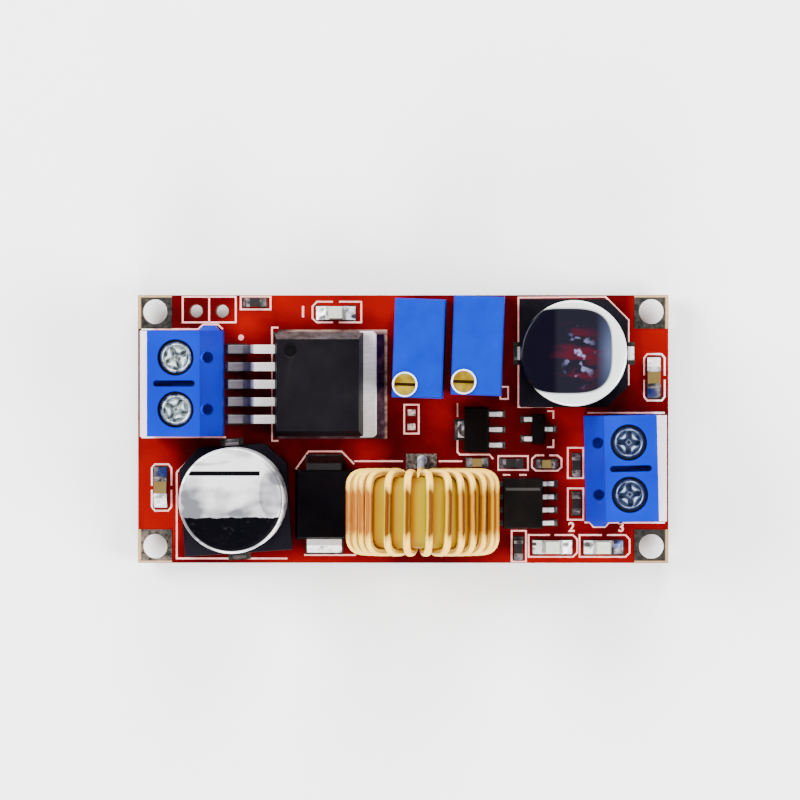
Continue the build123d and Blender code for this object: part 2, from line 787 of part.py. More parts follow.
def reference():
    half_pitch = reference_pair_pitch / 2
    rows = [(-1, half_pitch), (-1, -half_pitch), (1, 0)]
    size = (reference_length, reference_width, reference_height)
    small_package("reference", reference_place, size, reference_stand, reference_lead_reach, rows)


def amplifier():
    rows = [(side, (i - 1.5) * amplifier_pitch) for side in (1, -1) for i in range(4)]
    size = (amplifier_length, amplifier_width, amplifier_height)
    small_package("amplifier", amplifier_place, size, amplifier_stand, amplifier_lead_reach, rows)


def chip(body_node, cap_node, place, size):
    """A two-ended chip part on its lands, with solder at both ends."""
    length, width, height, cap, reach = size
    spot = at(place, top + pad_thick)
    keep(body_node, spot, block(length - 2 * cap, width, height - chip_cap_proud, z=chip_cap_proud / 2))
    pad_length = cap + reach + chip_pad_margin
    for side in (1, -1):
        x = side * (length - cap) / 2
        keep(cap_node, spot, block(cap, width + chip_cap_proud, height, x))
        pad_x = side * (length / 2 - cap + pad_length / 2)
        pad(place, pad_length, width + 2 * chip_pad_margin, pad_x)
        fillet_wedge(place, length / 2, reach, height * chip_solder_share, width, side)


def led_lens(place):
    length, width, height, cap = led_size[:4]
    bottom = Rectangle(length - 2 * cap - 2 * led_lens_gap, width)
    upper = Rectangle(length - 2 * cap - led_lens_taper, width - led_lens_taper)
    z = height - chip_cap_proud / 2
    lens = loft([Pos(0, 0, z) * bottom, Pos(0, 0, z + led_lens_height) * upper])
    keep("led_lenses", at(place, top + pad_thick), lens)


def chips():
    for place in resistor_places:
        chip("resistor_bodies", "resistor_end_caps", place, resistor_size)
    for place in capacitor_0805_places:
        chip("ceramic_capacitor_bodies", "ceramic_capacitor_end_caps", place, capacitor_0805)
    for place in capacitor_0603_places:
        chip("ceramic_capacitor_bodies", "ceramic_capacitor_end_caps", place, capacitor_0603)
    for place in led_places:
        chip("led_bases", "led_end_caps", place, led_size)
        led_lens(place)


# Board
def circuit_board():
    board = block(board_length, board_width, board_thick)
    land_x = board_length / 2 - corner_pad_margin
    land_y = board_width / 2 - corner_pad_margin
    hole_x = board_length / 2 - mount_inset_x
    hole_y = board_width / 2 - mount_inset_y
    inner_x = hole_x - corner_pad_reach
    inner_y = hole_y - corner_pad_reach
    for sx in (1, -1):
        for sy in (1, -1):
            x = sx * hole_x
            y = sy * hole_y
            board -= post(mount_hole_r, board_thick, x, y)
            middle_x = sx * (land_x + inner_x) / 2
            middle_y = sy * (land_y + inner_y) / 2
            land = block(land_x - inner_x, land_y - inner_y, pad_thick, middle_x, middle_y)
            keep("solder_pads", at((0, 0, 0)), land - post(mount_hole_r, pad_thick, x, y))
    for i in (0, 1):
        x = header_x + i * header_pitch
        board -= post(header_hole_r, board_thick, x, header_y)
        ring = post(header_pad_r, pad_thick) - post(header_hole_r, pad_thick)
        keep("solder_pads", at((x, header_y, 0)), ring)
        spare = (spare_land_place[0], spare_land_place[1] + (i - 0.5) * spare_land_pitch, 0)
        pad(spare, *spare_land_size)
    for hole in drilled:
        board -= hole
    keep("circuit_board", Pos(0, 0, 0), board)


terminal_block("input", terminal_input_place)
terminal_block("output", terminal_output_place)
trimmer("voltage", trimmer_voltage_place)
trimmer("current", trimmer_current_place)
can_capacitor("input", capacitor_input_place)
can_capacitor("output", capacitor_output_place)
inductor()
regulator()
diode()
bias_regulator()
reference()
amplifier()
chips()
circuit_board()

os.makedirs("parts", exist_ok=True)
for name, solids in nodes.items():
    shape = solids[0] if len(solids) == 1 else Compound(solids)
    export_step(shape, f"parts/{name}.step")
print(len(nodes), "nodes,", sum(len(s) for s in nodes.values()), "solids")
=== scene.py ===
import bpy
import bmesh
import json
import math
import numpy as np
from mathutils import Matrix, Vector


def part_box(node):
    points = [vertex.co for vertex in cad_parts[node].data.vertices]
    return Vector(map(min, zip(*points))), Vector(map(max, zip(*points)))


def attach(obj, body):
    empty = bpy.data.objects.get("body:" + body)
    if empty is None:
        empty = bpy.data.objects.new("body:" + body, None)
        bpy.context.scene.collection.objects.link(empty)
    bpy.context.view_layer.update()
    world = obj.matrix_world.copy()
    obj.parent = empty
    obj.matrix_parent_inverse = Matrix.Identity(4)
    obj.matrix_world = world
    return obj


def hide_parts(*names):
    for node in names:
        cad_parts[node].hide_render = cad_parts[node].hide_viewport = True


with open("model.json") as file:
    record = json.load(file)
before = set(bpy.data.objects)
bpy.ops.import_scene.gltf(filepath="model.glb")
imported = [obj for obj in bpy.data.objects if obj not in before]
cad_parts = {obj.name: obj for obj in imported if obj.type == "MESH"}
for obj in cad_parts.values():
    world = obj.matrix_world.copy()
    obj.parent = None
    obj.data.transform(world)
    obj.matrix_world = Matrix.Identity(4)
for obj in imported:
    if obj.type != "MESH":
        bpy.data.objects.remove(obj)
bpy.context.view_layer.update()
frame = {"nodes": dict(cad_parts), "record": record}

mm = 0.001
boardTop = 1.6  # height of the board's parts side above its underside, in mm
padTop = boardTop + 0.07  # height of the copper lands
nodes = frame["nodes"]
bodyOf = {}
for bodyName, members in frame["record"]["behaviour"]["bodies"].items():
    bodyOf.update({node: bodyName for node in members})
slotOf = {row["node"]: row["material_slot"] for row in frame["record"]["subparts"]}


# Shader maths
class Flow:
    # One socket of a finish. The operators add the Math node that they name.
    def __init__(self, finish, socket):
        self.finish = finish
        self.socket = socket

    def calc(self, operation, *others, clamp=False):
        values = dict(enumerate((self,) + others))
        return self.finish.add("ShaderNodeMath", {"operation": operation, "use_clamp": clamp}, values)

    def __add__(self, other):
        return self.calc("ADD", other)

    def __sub__(self, other):
        return self.calc("SUBTRACT", other)

    def __rsub__(self, other):
        return self.finish.add("ShaderNodeMath", {"operation": "SUBTRACT"}, {0: other, 1: self})

    def __mul__(self, other):
        return self.calc("MULTIPLY", other)

    def __truediv__(self, other):
        return self.calc("DIVIDE", other)

    def __pow__(self, other):
        return self.calc("POWER", other)

    def __abs__(self):
        return self.calc("ABSOLUTE")

    __radd__ = __add__
    __rmul__ = __mul__

    def larger(self, other):
        return self.calc("MAXIMUM", other)

    def clamped(self):
        return self.calc("ADD", 0.0, clamp=True)

    def above(self, edge, soft=0.02):
        # 0 below the edge, 1 above it, over a soft step
        return ((self - edge) / soft + 0.5).clamped()

    def past(self, start, gain):
        # 0 up to a start, then rising to 1 at a slope of gain
        return ((self - start) * gain).clamped()

    def between(self, low, high, soft=0.02):
        return self.above(low, soft) * (1.0 - self.above(high, soft))


class Finish:
    # One material: its node tree, the shader and the patterns that several finishes share.
    def __init__(self, name, **fixed):
        self.material = bpy.data.materials.new(name)
        self.material.use_nodes = True
        self.tree = self.material.node_tree
        self.tree.nodes.clear()
        self.shader = self.tree.nodes.new("ShaderNodeBsdfPrincipled")
        out = self.tree.nodes.new("ShaderNodeOutputMaterial")
        self.tree.links.new(self.shader.outputs[0], out.inputs[0])
        for key, value in fixed.items():
            self.feed(self.shader, key.replace("_", " "), value)
        self.coords = self.add("ShaderNodeTexCoord", output="Object")
        self.place = self.vector("SCALE", self.coords, Scale=1 / mm)  # millimetres

    def feed(self, node, key, value):
        socket = node.inputs[key]
        if isinstance(value, Flow):
            self.tree.links.new(value.socket, socket)
        else:
            socket.default_value = value

    def add(self, kind, settings=None, values=None, output=0):
        node = self.tree.nodes.new(kind)
        for key, value in (settings or {}).items():
            if key == "stops":
                for stop in range(len(value) - 2):
                    node.color_ramp.elements.new(0.5)
                for element, (position, colour) in zip(node.color_ramp.elements, value):
                    element.position = position
                    element.color = colour + (1,)
            else:
                setattr(node, key, value)
        for key, value in (values or {}).items():
            self.feed(node, key, value)
        return Flow(self, node.outputs[output])

    def vector(self, operation, *inputs, output=0, **named):
        values = dict(enumerate(inputs))
        values.update(named)
        return self.add("ShaderNodeVectorMath", {"operation": operation}, values, output)

    def noise(self, scale, detail=3.0, rough=0.55, place=None):
        values = {"Vector": place or self.place, "Scale": scale, "Detail": detail, "Roughness": rough}
        return self.add("ShaderNodeTexNoise", None, values)

    def stretched(self, x, y, z):
        return self.vector("MULTIPLY", self.place, (x, y, z))

    def along(self, direction, origin=(0, 0, 0)):
        # distance in mm from a plane through origin, along a direction
        away = self.vector("SUBTRACT", self.place, origin)
        return self.vector("DOT_PRODUCT", away, direction, output="Value")

    def facing(self, direction):
        # 1 where the face looks along a direction, 0 where it lies along it
        normal = self.add("ShaderNodeNewGeometry", output="True Normal")
        return self.vector("DOT_PRODUCT", normal, direction, output="Value")

    def spot(self, x=0, y=0):
        # distances in mm from a place on the board, along X and along Y
        return self.along((1, 0, 0), (x, y, 0)), self.along((0, 1, 0), (x, y, 0))

    def radius(self, x, y, reachX=1, reachY=1):
        # distance from an upright axis through a place on the board, as a share of the reach
        away = self.vector("SUBTRACT", self.place, (x, y, 0))
        share = self.vector("MULTIPLY", away, (1 / reachX, 1 / reachY, 0))
        return self.vector("LENGTH", share, output="Value")

    def blob(self, x, y, reachX, reachY):
        # 1 over a place on the board, falling to 0 at its reach
        return (1.0 - self.radius(x, y, reachX, reachY)).clamped()

    def blobs(self, places):
        # the sum of several, each with a strength if its row has a fifth value
        parts = [self.blob(*row[:4]) * row[4] if len(row) > 4 else self.blob(*row) for row in places]
        return sum(parts[1:], parts[0])

    def scuffs(self):
        return (self.noise(1.6, 5.0, 0.7, place=self.stretched(1, 3.5, 1)) - 0.6).clamped() * 2.0

    def attribute(self, name):
        return self.add("ShaderNodeAttribute", {"attribute_name": name}, output="Fac")

    def mix(self, share, first, second):
        values = {0: share, 6: self.colour(first), 7: self.colour(second)}
        return self.add("ShaderNodeMix", {"data_type": "RGBA"}, values, output=2)

    def colour(self, value):
        return value if isinstance(value, Flow) else tuple(value) + (1.0,)

    def bump(self, height, strength=0.3, depth=0.05):
        values = {"Height": height, "Strength": strength, "Distance": depth * mm}
        return self.add("ShaderNodeBump", None, values)

    def use(self, **links):
        for key, value in links.items():
            self.feed(self.shader, key.replace("_", " "), value)
        return self.material


# Heights above the board's underside at which a finish changes, in mm
heights = {
    "terminalTop": 11.585,
    "brassFace": 11.86,
    "inputCanTop": 11.5,
    "outputCanTop": 11.3,
    "leadRun": 3.9,
    "coreShade": 13.6,
}

# Where the lacquer is painted brighter, partly over copper beneath it and partly as painted light: x, y,
# reach in x and y, strength
maskCopperAndLight = (
    (-24.6, -6.0, 3.6, 9.0, 1.0),
    (-22.8, -9.5, 2.6, 4.0, 0.6),
    (-9.0, 12.8, 6.5, 3.4, 1.1),
    (-15.2, 9.8, 3.0, 3.4, 0.8),
    (-2.0, 12.8, 3.6, 4.2, 1.0),
    (3.5, 6.5, 3.0, 9.0, 0.6),
    (5.0, 2.6, 3.4, 3.2, 0.7),
    (-3.6, -2.0, 2.8, 2.0, 0.9),
    (24.8, 9.2, 3.6, 7.5, 1.2),
    (17.4, -3.0, 3.0, 8.5, 0.9),
    (16.0, -13.4, 12.0, 2.4, 1.1),
    (-9.0, -13.4, 9.0, 2.2, 0.9),
    (23.8, -10.4, 3.4, 2.6, 0.8),
    (17.2, 2.6, 3.6, 2.6, 1.0),
    (14.6, 2.4, 3.0, 3.0, 0.6),
)
# Test holes and wells of the terminal blocks, which get painted bounce light: x, y and twice the reach in x
# and y
terminalHollows = (
    (-18.68, 6.95, 1.24, 1.24),
    (-18.68, 1.95, 1.24, 1.24),
    (-21.63, 6.95, 3.36, 3.36),
    (-21.63, 1.95, 3.36, 3.36),
    (19.01, -6.28, 1.24, 1.24),
    (18.90, -1.28, 1.24, 1.24),
    (21.95, -6.21, 3.36, 3.36),
    (21.85, -1.21, 3.36, 3.36),
)


def makeSolderMask(name, dark, bright):
    # Red lacquer: a dark base that is partly painted shade, brighter areas that are partly copper under the
    # lacquer and partly painted light, a faint glass weave, and raw laminate at the cut sides.
    f = Finish(name, IOR=1.5, Specular_IOR_Level=0.04)
    speck = f.noise(6.0, 4.0)
    cloud = f.noise(0.35, 3.0)
    thread = {"Vector": f.place, "Scale": 0.9, "Distortion": 1.2}
    weave = f.add("ShaderNodeTexWave", {"bands_direction": "X"}, thread)
    weave = weave * f.add("ShaderNodeTexWave", {"bands_direction": "Y"}, thread)
    # partly painted light: these blobs lift the lacquer's tone as well as marking copper
    copperAndLight = f.blobs(maskCopperAndLight)
    tone = (copperAndLight * 1.25 + (cloud - 0.5) * 0.5 + (speck - 0.5) * 0.12 + 0.16).clamped()
    face = f.mix(tone, dark, bright)
    side = f.mix(f.noise(9.0, 4.0, place=f.stretched(1, 1, 6)), (0.16, 0.05, 0.012), (0.30, 0.13, 0.04))
    onFace = abs(f.facing((0, 0, 1))).above(0.5)
    return f.use(
        Base_Color=f.mix(onFace, side, face),
        Roughness=0.68 - onFace * 0.34 + speck * 0.08,
        Normal=f.bump(weave * 0.5 + speck * 0.3, 0.16, 0.03),
    )


def makeSilkInk():
    # Screened ink: a warm white with grainy, slightly thin patches.
    f = Finish("silkInk", Specular_IOR_Level=0.2)
    grain = f.noise(14.0, 3.0)
    patch = f.noise(2.2, 2.0)
    colour = f.mix((patch - 0.35).clamped() * 1.6, (0.80, 0.30, 0.26), (0.86, 0.54, 0.50))
    outboard = abs(f.along((1, 0, 0))).above(24.3, 0.6)
    colour = f.mix(outboard * 0.8, colour, (0.88, 0.86, 0.88))
    return f.use(Base_Color=colour, Roughness=0.55 + grain * 0.2, Normal=f.bump(grain, 0.3, 0.02))


def makePlastic(name, low, high, rough, grainScale=5.0, grain=0.12, shine=0.15, worn=0.25):
    # Moulded plastic: two close tones in soft clouds, thin scuffs and a fine spark-eroded grain.
    f = Finish(name, IOR=1.48, Specular_IOR_Level=shine)
    cloud = f.noise(0.5, 3.0)
    fine = f.noise(grainScale, 4.0)
    scuff = f.scuffs()
    colour = f.mix((cloud - 0.25).clamped() * 1.6, low, high)
    return f.use(
        Base_Color=f.mix(scuff * worn, colour, tuple(min(1.0, c * 1.6 + 0.01) for c in high)),
        Roughness=rough + (fine - 0.5) * 0.16 + scuff * 0.15,
        Normal=f.bump(fine, grain, 0.04),
    )


def makeTerminalPlastic():
    # Glossy blue moulding with painted bounce light: a deeper, brighter blue in the wells and test holes,
    # where light bounces between walls.
    f = Finish("terminalBlue", IOR=1.48, Specular_IOR_Level=0.06)
    cloud = f.noise(0.16, 2.0)
    fine = f.noise(5.0, 4.0)
    scuff = f.scuffs()
    # painted bounce light: a brighter blue within the hollows, kept off the top and side faces
    inside = f.blob(*terminalHollows[0])
    for row in terminalHollows[1:]:
        inside = inside.larger(f.blob(*row))
    colour = f.mix(cloud.past(0.35, 2.5), (0.0, 0.006, 0.24), (0.0, 0.013, 0.30))
    colour = f.mix(scuff * 0.10, colour, (0.01, 0.06, 0.45))
    rise = abs(f.facing((0, 0, 1)))
    outer = f.along((0, 0, 1)).above(heights["terminalTop"], 0.01)
    outer = outer.larger(rise.between(0.04, 0.97, 0.02))
    inside = inside.above(0.495, 0.01) * (1.0 - outer)
    return f.use(
        Base_Color=f.mix(inside, colour, (0.0, 0.025, 0.85)),
        Roughness=0.38 + (fine - 0.5) * 0.14 + scuff * 0.1,
        Normal=f.bump(fine, 0.1, 0.04),
    )


def makeMetal(name, low, high, rough, brush=(1, 1, 1), brushScale=6.0, grain=0.15, oxide=0.0, metallic=0.6):
    # Bare or plated metal: directional scratches, blotches of oxide and a fine bump.
    f = Finish(name)
    lines = f.noise(brushScale, 4.0, 0.6, place=f.stretched(*brush))
    blotch = f.noise(0.9, 4.0)
    dull = blotch.past(0.52, 4.0) * oxide
    colour = f.mix(((lines - 0.5) * 2.2 + 0.5).clamped(), low, high)
    return f.use(
        Base_Color=f.mix(dull, colour, tuple(c * 0.45 for c in low)),
        Metallic=metallic - dull * 0.3,
        Roughness=rough + (lines - 0.5) * 0.22 + dull * 0.3,
        Normal=f.bump(lines, grain, 0.03),
    )


def makeLand():
    # Tinned copper lands: dull grey, tan along the board's edge, red-brown in the header rings, and round
    # the power package dark purple-red with pale streaks at its rear and right edges.
    f = Finish("tinnedLand", Specular_IOR_Level=0.2)
    lines = f.noise(3.0, 4.0, 0.6)
    x, y = f.spot()
    edge = abs(x).above(25.48, 0.16).larger(abs(y).above(12.8, 0.12))
    header = (f.blob(-20.08, 11.46, 1.4, 1.4) + f.blob(-17.54, 11.46, 1.4, 1.4)).above(0.2, 0.1)
    regulatorLand = x.between(-12.6, -1.3) * y.between(-1.1, 9.8)
    mottled = x.between(0.1, 3.3, 0.2) * y.between(-4.0, -2.3, 0.2)
    bare = x.between(0.2, 1.4, 0.1) * (y.between(1.35, 2.3, 0.3) + y.between(-0.3, 0.62, 0.3)).clamped()
    grit = f.noise(2.2, 5.0, 0.65).past(0.38, 3.5)
    flat = f.mix(grit, (0.004, 0.0038, 0.0034), (0.040, 0.036, 0.028))
    flat = f.mix(f.blob(-25.0, -12.0, 3.5, 3.5).above(0.3, 0.4) * grit, flat, (0.14, 0.11, 0.09))
    smear = f.mix(lines.past(0.4, 4.0), (0.025, 0.018, 0.016), (0.16, 0.125, 0.10))
    flat = f.mix(mottled, flat, smear)
    flat = f.mix(bare * lines.past(0.35, 5.0), flat, (0.55, 0.42, 0.38))
    streak = f.noise(0.8, 3.0, 0.6, place=f.stretched(0.5, 1.6, 1))
    rearEdge = y.above(9.0, 0.3).larger(x.above(-1.75, 0.15))
    bright = f.mix(streak.past(0.42, 5.0), (0.030, 0.006, 0.012), (0.10, 0.055, 0.060))
    bright = f.mix(rearEdge * streak.past(0.3, 2.5), bright, (0.36, 0.22, 0.16))
    colour = f.mix(edge * 0.9, flat, f.mix(lines, (0.36, 0.20, 0.08), (0.60, 0.42, 0.22)))
    colour = f.mix(regulatorLand, colour, bright)
    return f.use(
        Base_Color=f.mix(header, colour, (0.07, 0.010, 0.004)),
        Metallic=0.30 - header * 0.25,
        Roughness=0.42 + lines * 0.2,
        Normal=f.bump(lines, 0.25, 0.04),
    )


# Joints with a painted highlight, with a painted reflection of the blue sky, and with painted shade where
# they mirror a dark part: x, y, reach in x and y
highlightJoints = (
    (-23.56, -7.1, 1.3, 1.1),
    (24.35, 6.5, 1.3, 1.1),
    (-7.62, -11.4, 3.2, 1.2),
    (-8.1, 11.3, 1.5, 1.3),
    (-4.9, 11.3, 1.5, 1.3),
    (12.9, -11.5, 1.5, 1.3),
    (16.1, -11.5, 1.5, 1.3),
    (17.9, -11.5, 1.5, 1.3),
    (1.94, -3.0, 0.8, 0.8),
    (22.3, 7.35, 0.8, 1.2),
)
# painted reflection of the sky on these joints
skyReflectionJoints = (
    (-23.2, -4.2, 0.9, 0.9),
    (24.0, 3.5, 0.9, 0.9),
    (20.85, -11.15, 0.9, 0.7),
    (1.95, -3.0, 0.55, 0.55),
)
# painted shade on these joints
shadedJoints = (
    (-7.7, 10.75, 0.9, 0.5),
    (-4.7, 10.95, 0.6, 0.4),
    (15.8, -11.2, 0.6, 0.4),
    (17.9, -11.2, 0.65, 0.45),
    (12.75, -11.15, 0.4, 0.3),
    (20.6, -10.9, 0.45, 0.4),
)


def makeSolder():
    # Solder: lumpy and dull, with painted highlights on the open joints, a painted reflection of the blue
    # sky on some, painted shade where it lies under parts, and dark purple-red beside the power package's
    # tab.
    f = Finish("solderMetal")
    lump = f.noise(1.1, 2.0)
    pits = f.noise(10.0, 3.0)
    x, y = f.spot()
    # painted highlight on the open joints
    lit = f.blobs(highlightJoints).above(0.22, 0.3)
    share = ((lump - 0.46) * 5.0 + lit * 0.9).clamped()
    shade = f.mix(share, (0.045, 0.040, 0.046), f.mix(lit, (0.22, 0.21, 0.21), (0.90, 0.89, 0.88)))
    tabEdge = x.between(-2.9, -1.2) * y.between(-0.6, 9.3)
    shade = f.mix(tabEdge, shade, f.mix(share, (0.016, 0.003, 0.009), (0.060, 0.020, 0.032)))
    # painted shade: near-black where joints lie in shadow by the input can and the diode
    paintedShade = (f.blob(-15.9, -12.2, 2.0, 1.2) + f.blob(-7.62, -2.6, 3.4, 1.3)).above(0.2, 0.2)
    shade = f.mix(paintedShade, shade, (0.010, 0.002, 0.002))
    # painted reflection of the sky
    blue = f.blobs(skyReflectionJoints).above(0.35, 0.5)
    shade = f.mix(blue * 0.8, shade, (0.016, 0.036, 0.17))
    # painted shade on the listed dark joints
    dark = (f.blobs(shadedJoints) + (lump - 0.5) * 0.5).above(0.42, 0.3)
    return f.use(
        Base_Color=f.mix(dark * 0.9, shade, (0.008, 0.005, 0.010)),
        Metallic=0.50 - share * 0.2 - (tabEdge + paintedShade).clamped() * 0.3 + dark * 0.5,
        Roughness=0.24 + pits * 0.2,
        Normal=f.bump(lump * 2.0 + pits * 0.2, 0.5, 0.15),
    )


def makeLead():
    # Tinned leads: bright on the raised runs and greyer on the feet, with a bluish painted shade at the heel
    # bend and painted shade on leads that lie in shadow.
    f = Finish("tinnedLead")
    lines = f.noise(1.3, 3.0, 0.5, place=f.stretched(0.6, 3.0, 1))
    grain = f.noise(6.0, 3.0)
    x = f.along((1, 0, 0))
    raised = f.along((0, 0, 1)).above(heights["leadRun"], 0.6).larger(x.above(-11.0, 0.4))
    # painted shade on leads in shadow by the diode, the amplifier and the input can
    shade = f.blob(-7.62, -3.4, 3.6, 1.7).above(0.15, 0.3)
    shade = shade.larger(f.blob(9.3, -7.2, 1.4, 6.0).above(0.3, 0.2))
    shade = shade.larger(f.blob(-15.9, -12.2, 2.0, 1.2).above(0.2, 0.2))
    # painted shade at the bend above the foot
    heel = x.between(-15.1, -14.35, 0.5)
    foot = f.mix(lines, (0.14, 0.12, 0.13), (0.30, 0.27, 0.28))
    foot = f.mix(heel * 0.85, foot, (0.045, 0.040, 0.058))
    bright = f.mix(lines, (0.52, 0.48, 0.46), (0.86, 0.82, 0.79))
    return f.use(
        Base_Color=f.mix(shade, f.mix(raised, foot, bright), (0.010, 0.008, 0.009)),
        Metallic=0.45 - raised * 0.1,
        Roughness=0.36 + grain * 0.1,
        Normal=f.bump(lines + grain * 0.2, 0.2, 0.05),
    )


def makeBrass():
    # Turned brass: gold with paler sweeps, and a dark brown painted shade below the face, round the edge and
    # in the slot.
    f = Finish("turnedBrass", Specular_IOR_Level=0.2)
    sweep = f.noise(0.9, 3.0)
    fine = f.noise(8.0, 3.0)
    # painted shade: below the face height the brass turns dark brown
    face = f.along((0, 0, 1)).above(heights["brassFace"], 0.06)
    gold = f.mix(sweep.past(0.4, 4.0), (0.17, 0.095, 0.002), (0.36, 0.25, 0.02))
    return f.use(
        Base_Color=f.mix(face, (0.045, 0.018, 0.0005), gold),
        Metallic=0.55 + sweep * 0.1,
        Roughness=0.32 + fine * 0.12,
        Normal=f.bump(sweep + fine * 0.1, 0.15, 0.04),
    )


def makeCapTin():
    # Tinned chip ends: a painted highlight makes them bright on the large chips and the lamps; elsewhere
    # they stay dim.
    f = Finish("capTin", Specular_IOR_Level=0.2)
    lump = f.noise(1.6, 3.0)
    # painted highlight at the joints that shine
    lit = f.blobs(highlightJoints).above(0.1, 0.2)
    share = lump.past(0.42, 4.0)
    dim = f.mix(share, (0.020, 0.017, 0.017), (0.22, 0.19, 0.18))
    return f.use(
        Base_Color=f.mix(lit, dim, f.mix(share, (0.30, 0.29, 0.29), (0.80, 0.79, 0.77))),
        Metallic=0.40 - share * 0.1,
        Roughness=0.28 + lump * 0.2,
        Normal=f.bump(lump, 0.3, 0.08),
    )


def makeRegulatorBody():
    # Black moulding with a polished dimple; a painted reflection of the bright bench behind it streaks its
    # rear slope, and painted light greys its right slope.
    f = Finish("regulatorBlack", Specular_IOR_Level=0.04)
    fine = f.noise(8.0, 4.0)
    cloud = f.noise(0.5, 3.0)
    rising = f.facing((0, 0, 1)).above(0.06, 0.05)
    rearSlope = f.facing((0, 1, 0)).above(0.5, 0.1) * rising
    rightSlope = f.facing((1, 0, 0)).above(0.5, 0.1) * rising
    streak = f.noise(1.5, 4.0, 0.65, place=f.stretched(1, 0.5, 0.5)).past(0.36, 4.0)
    face = f.mix((cloud - 0.25).clamped() * 1.6, (0.0022, 0.0018, 0.0026), (0.0046, 0.0038, 0.0052))
    # painted light on the right slope
    face = f.mix(rightSlope * 0.8, face, (0.022, 0.020, 0.018))
    face = f.mix(f.blob(-10.8, 7.74, 1.2, 1.2).above(0.48, 0.05), face, (0.0008, 0.0008, 0.0010))
    # painted reflection on the rear slope
    mirror = f.mix(streak, (0.016, 0.011, 0.012), (0.058, 0.043, 0.045))
    return f.use(
        Base_Color=f.mix(rearSlope, face, mirror),
        Roughness=0.50 + (fine - 0.5) * 0.16,
        Normal=f.bump(fine, 0.3, 0.04),
    )


def makeInputCan():
    # Bright drawn aluminium with painted reflections: soft grey sweeps, folds and patches, lighter towards
    # the rear, and painted shade in the rim groove on one side; a printed line and an ink segment on the
    # minus side.
    f = Finish("inputCanMetal", Specular_IOR_Level=0.06)
    x, y = canPlaces["input"]
    dx, dy = f.spot(x, y)
    radius = f.radius(x, y)
    onTop = f.along((0, 0, 1)).above(heights["inputCanTop"], 0.02) * (1.0 - radius.above(4.84, 0.06))
    ragged = (f.noise(0.8, 3.0, 0.6, place=f.stretched(1, 0.05, 0)) - 0.5) * 0.5
    segment = (-1.60 - dy + ragged).above(0.0, 0.08)
    thick = ((dx + 4.3) * 3.0).clamped() * 0.24
    line = (thick - abs(dy - 2.62)).above(0.0, 0.1) * (1.0 - dx.above(2.75, 0.1))
    ink = (segment + line).clamped() * onTop
    sweep = f.noise(0.28, 2.0, 0.5, place=f.stretched(1, 1.3, 0.3))
    wave = f.noise(0.22, 1.0, place=f.stretched(0.8, 1.4, 0.3))
    fold = 1.0 - (abs(wave - 0.5) * 26.0).clamped()
    left = f.blob(x - 3.9, y - 0.5, 2.2, 3.6)
    lens = f.blob(x + 3.8, y + 0.7, 1.3, 2.6).above(0.12, 0.12)
    low = f.blob(x - 0.4, y - 1.3, 5.5, 0.9)
    # painted reflections: the grey sweeps, folds and patches, lightened towards the rear
    shade = (sweep - 0.30) * 3.6 - fold * 0.5 - left * 0.6 - low * 0.6 - lens * 0.35
    shade = (shade + dy.above(1.6, 1.5) * 0.5).clamped()
    # painted shade in the rim groove, on one side only
    groove = radius.between(4.80, 4.90, 0.05) * (1.0 - (dy - dx).above(0.5, 3.0))
    metal = f.mix(shade, (0.14, 0.14, 0.155), (0.80, 0.80, 0.82))
    metal = f.mix(groove * 0.8, metal, (0.05, 0.05, 0.055))
    speck = f.noise(2.5, 4.0).past(0.6, 4.0)
    return f.use(
        Base_Color=f.mix(ink, metal, f.mix(speck, (0.0003, 0.0002, 0.0010), (0.008, 0.008, 0.010))),
        Metallic=0.50 - ink * 0.5,
        Roughness=0.30 + sweep * 0.12,
        Normal=f.bump(sweep, 0.10, 0.05),
    )


def makeOutputCan():
    # Polished aluminium: a painted reflection of the dark sky, a rounded square in a bright rim, holding
    # painted bluish, red and pale reflections, and blacker with ink on the minus side.
    f = Finish("outputCanMetal", Specular_IOR_Level=0.1)
    x, y = canPlaces["output"]
    dx, dy = f.spot(x, y)
    squareX = abs((dx + 0.72) / 4.42) ** 3.2
    squareY = abs((dy - 0.22) / 4.12) ** 3.2
    onTop = f.along((0, 0, 1)).above(heights["outputCanTop"], 0.05)
    # painted reflection of the dark sky on the top
    dark = (1.0 - (squareX + squareY).above(1.0, 0.16)) * onTop
    ink = (-1.75 - dx).above(0.0, 0.5)
    # painted reflections: bluish, red and pale flecks in the dark square
    bluishReflection = dx.past(2.1, 0.8) * (1.0 - abs(dy) * 0.2).clamped()
    bits = f.noise(0.62, 3.0, 0.55, place=f.stretched(0.55, 1.5, 1))
    patch = bits.past(0.50, 9.0) * (f.blob(x + 0.4, y - 0.3, 2.8, 4.2) * 1.6).clamped()
    flash = f.noise(1.0, 2.0).past(0.58, 12.0) * f.blob(x + 0.5, y - 0.4, 1.8, 3.2)
    deep = f.mix(ink, (0.0065, 0.0060, 0.0110), (0.0020, 0.0016, 0.0050))
    deep = f.mix(bluishReflection * 0.8, deep, (0.055, 0.070, 0.135))
    deep = f.mix(patch * 0.8, deep, (0.045, 0.004, 0.010))
    deep = f.mix(flash, deep, (0.16, 0.15, 0.28))
    bright = f.mix(f.noise(0.6, 2.0), (0.62, 0.64, 0.64), (0.85, 0.86, 0.86))
    return f.use(
        Base_Color=f.mix(dark, bright, deep),
        Metallic=0.45 - dark * 0.25,
        Roughness=0.30 - dark * 0.12 + bits * 0.06,
        Normal=f.bump(bits, 0.05, 0.03),
    )


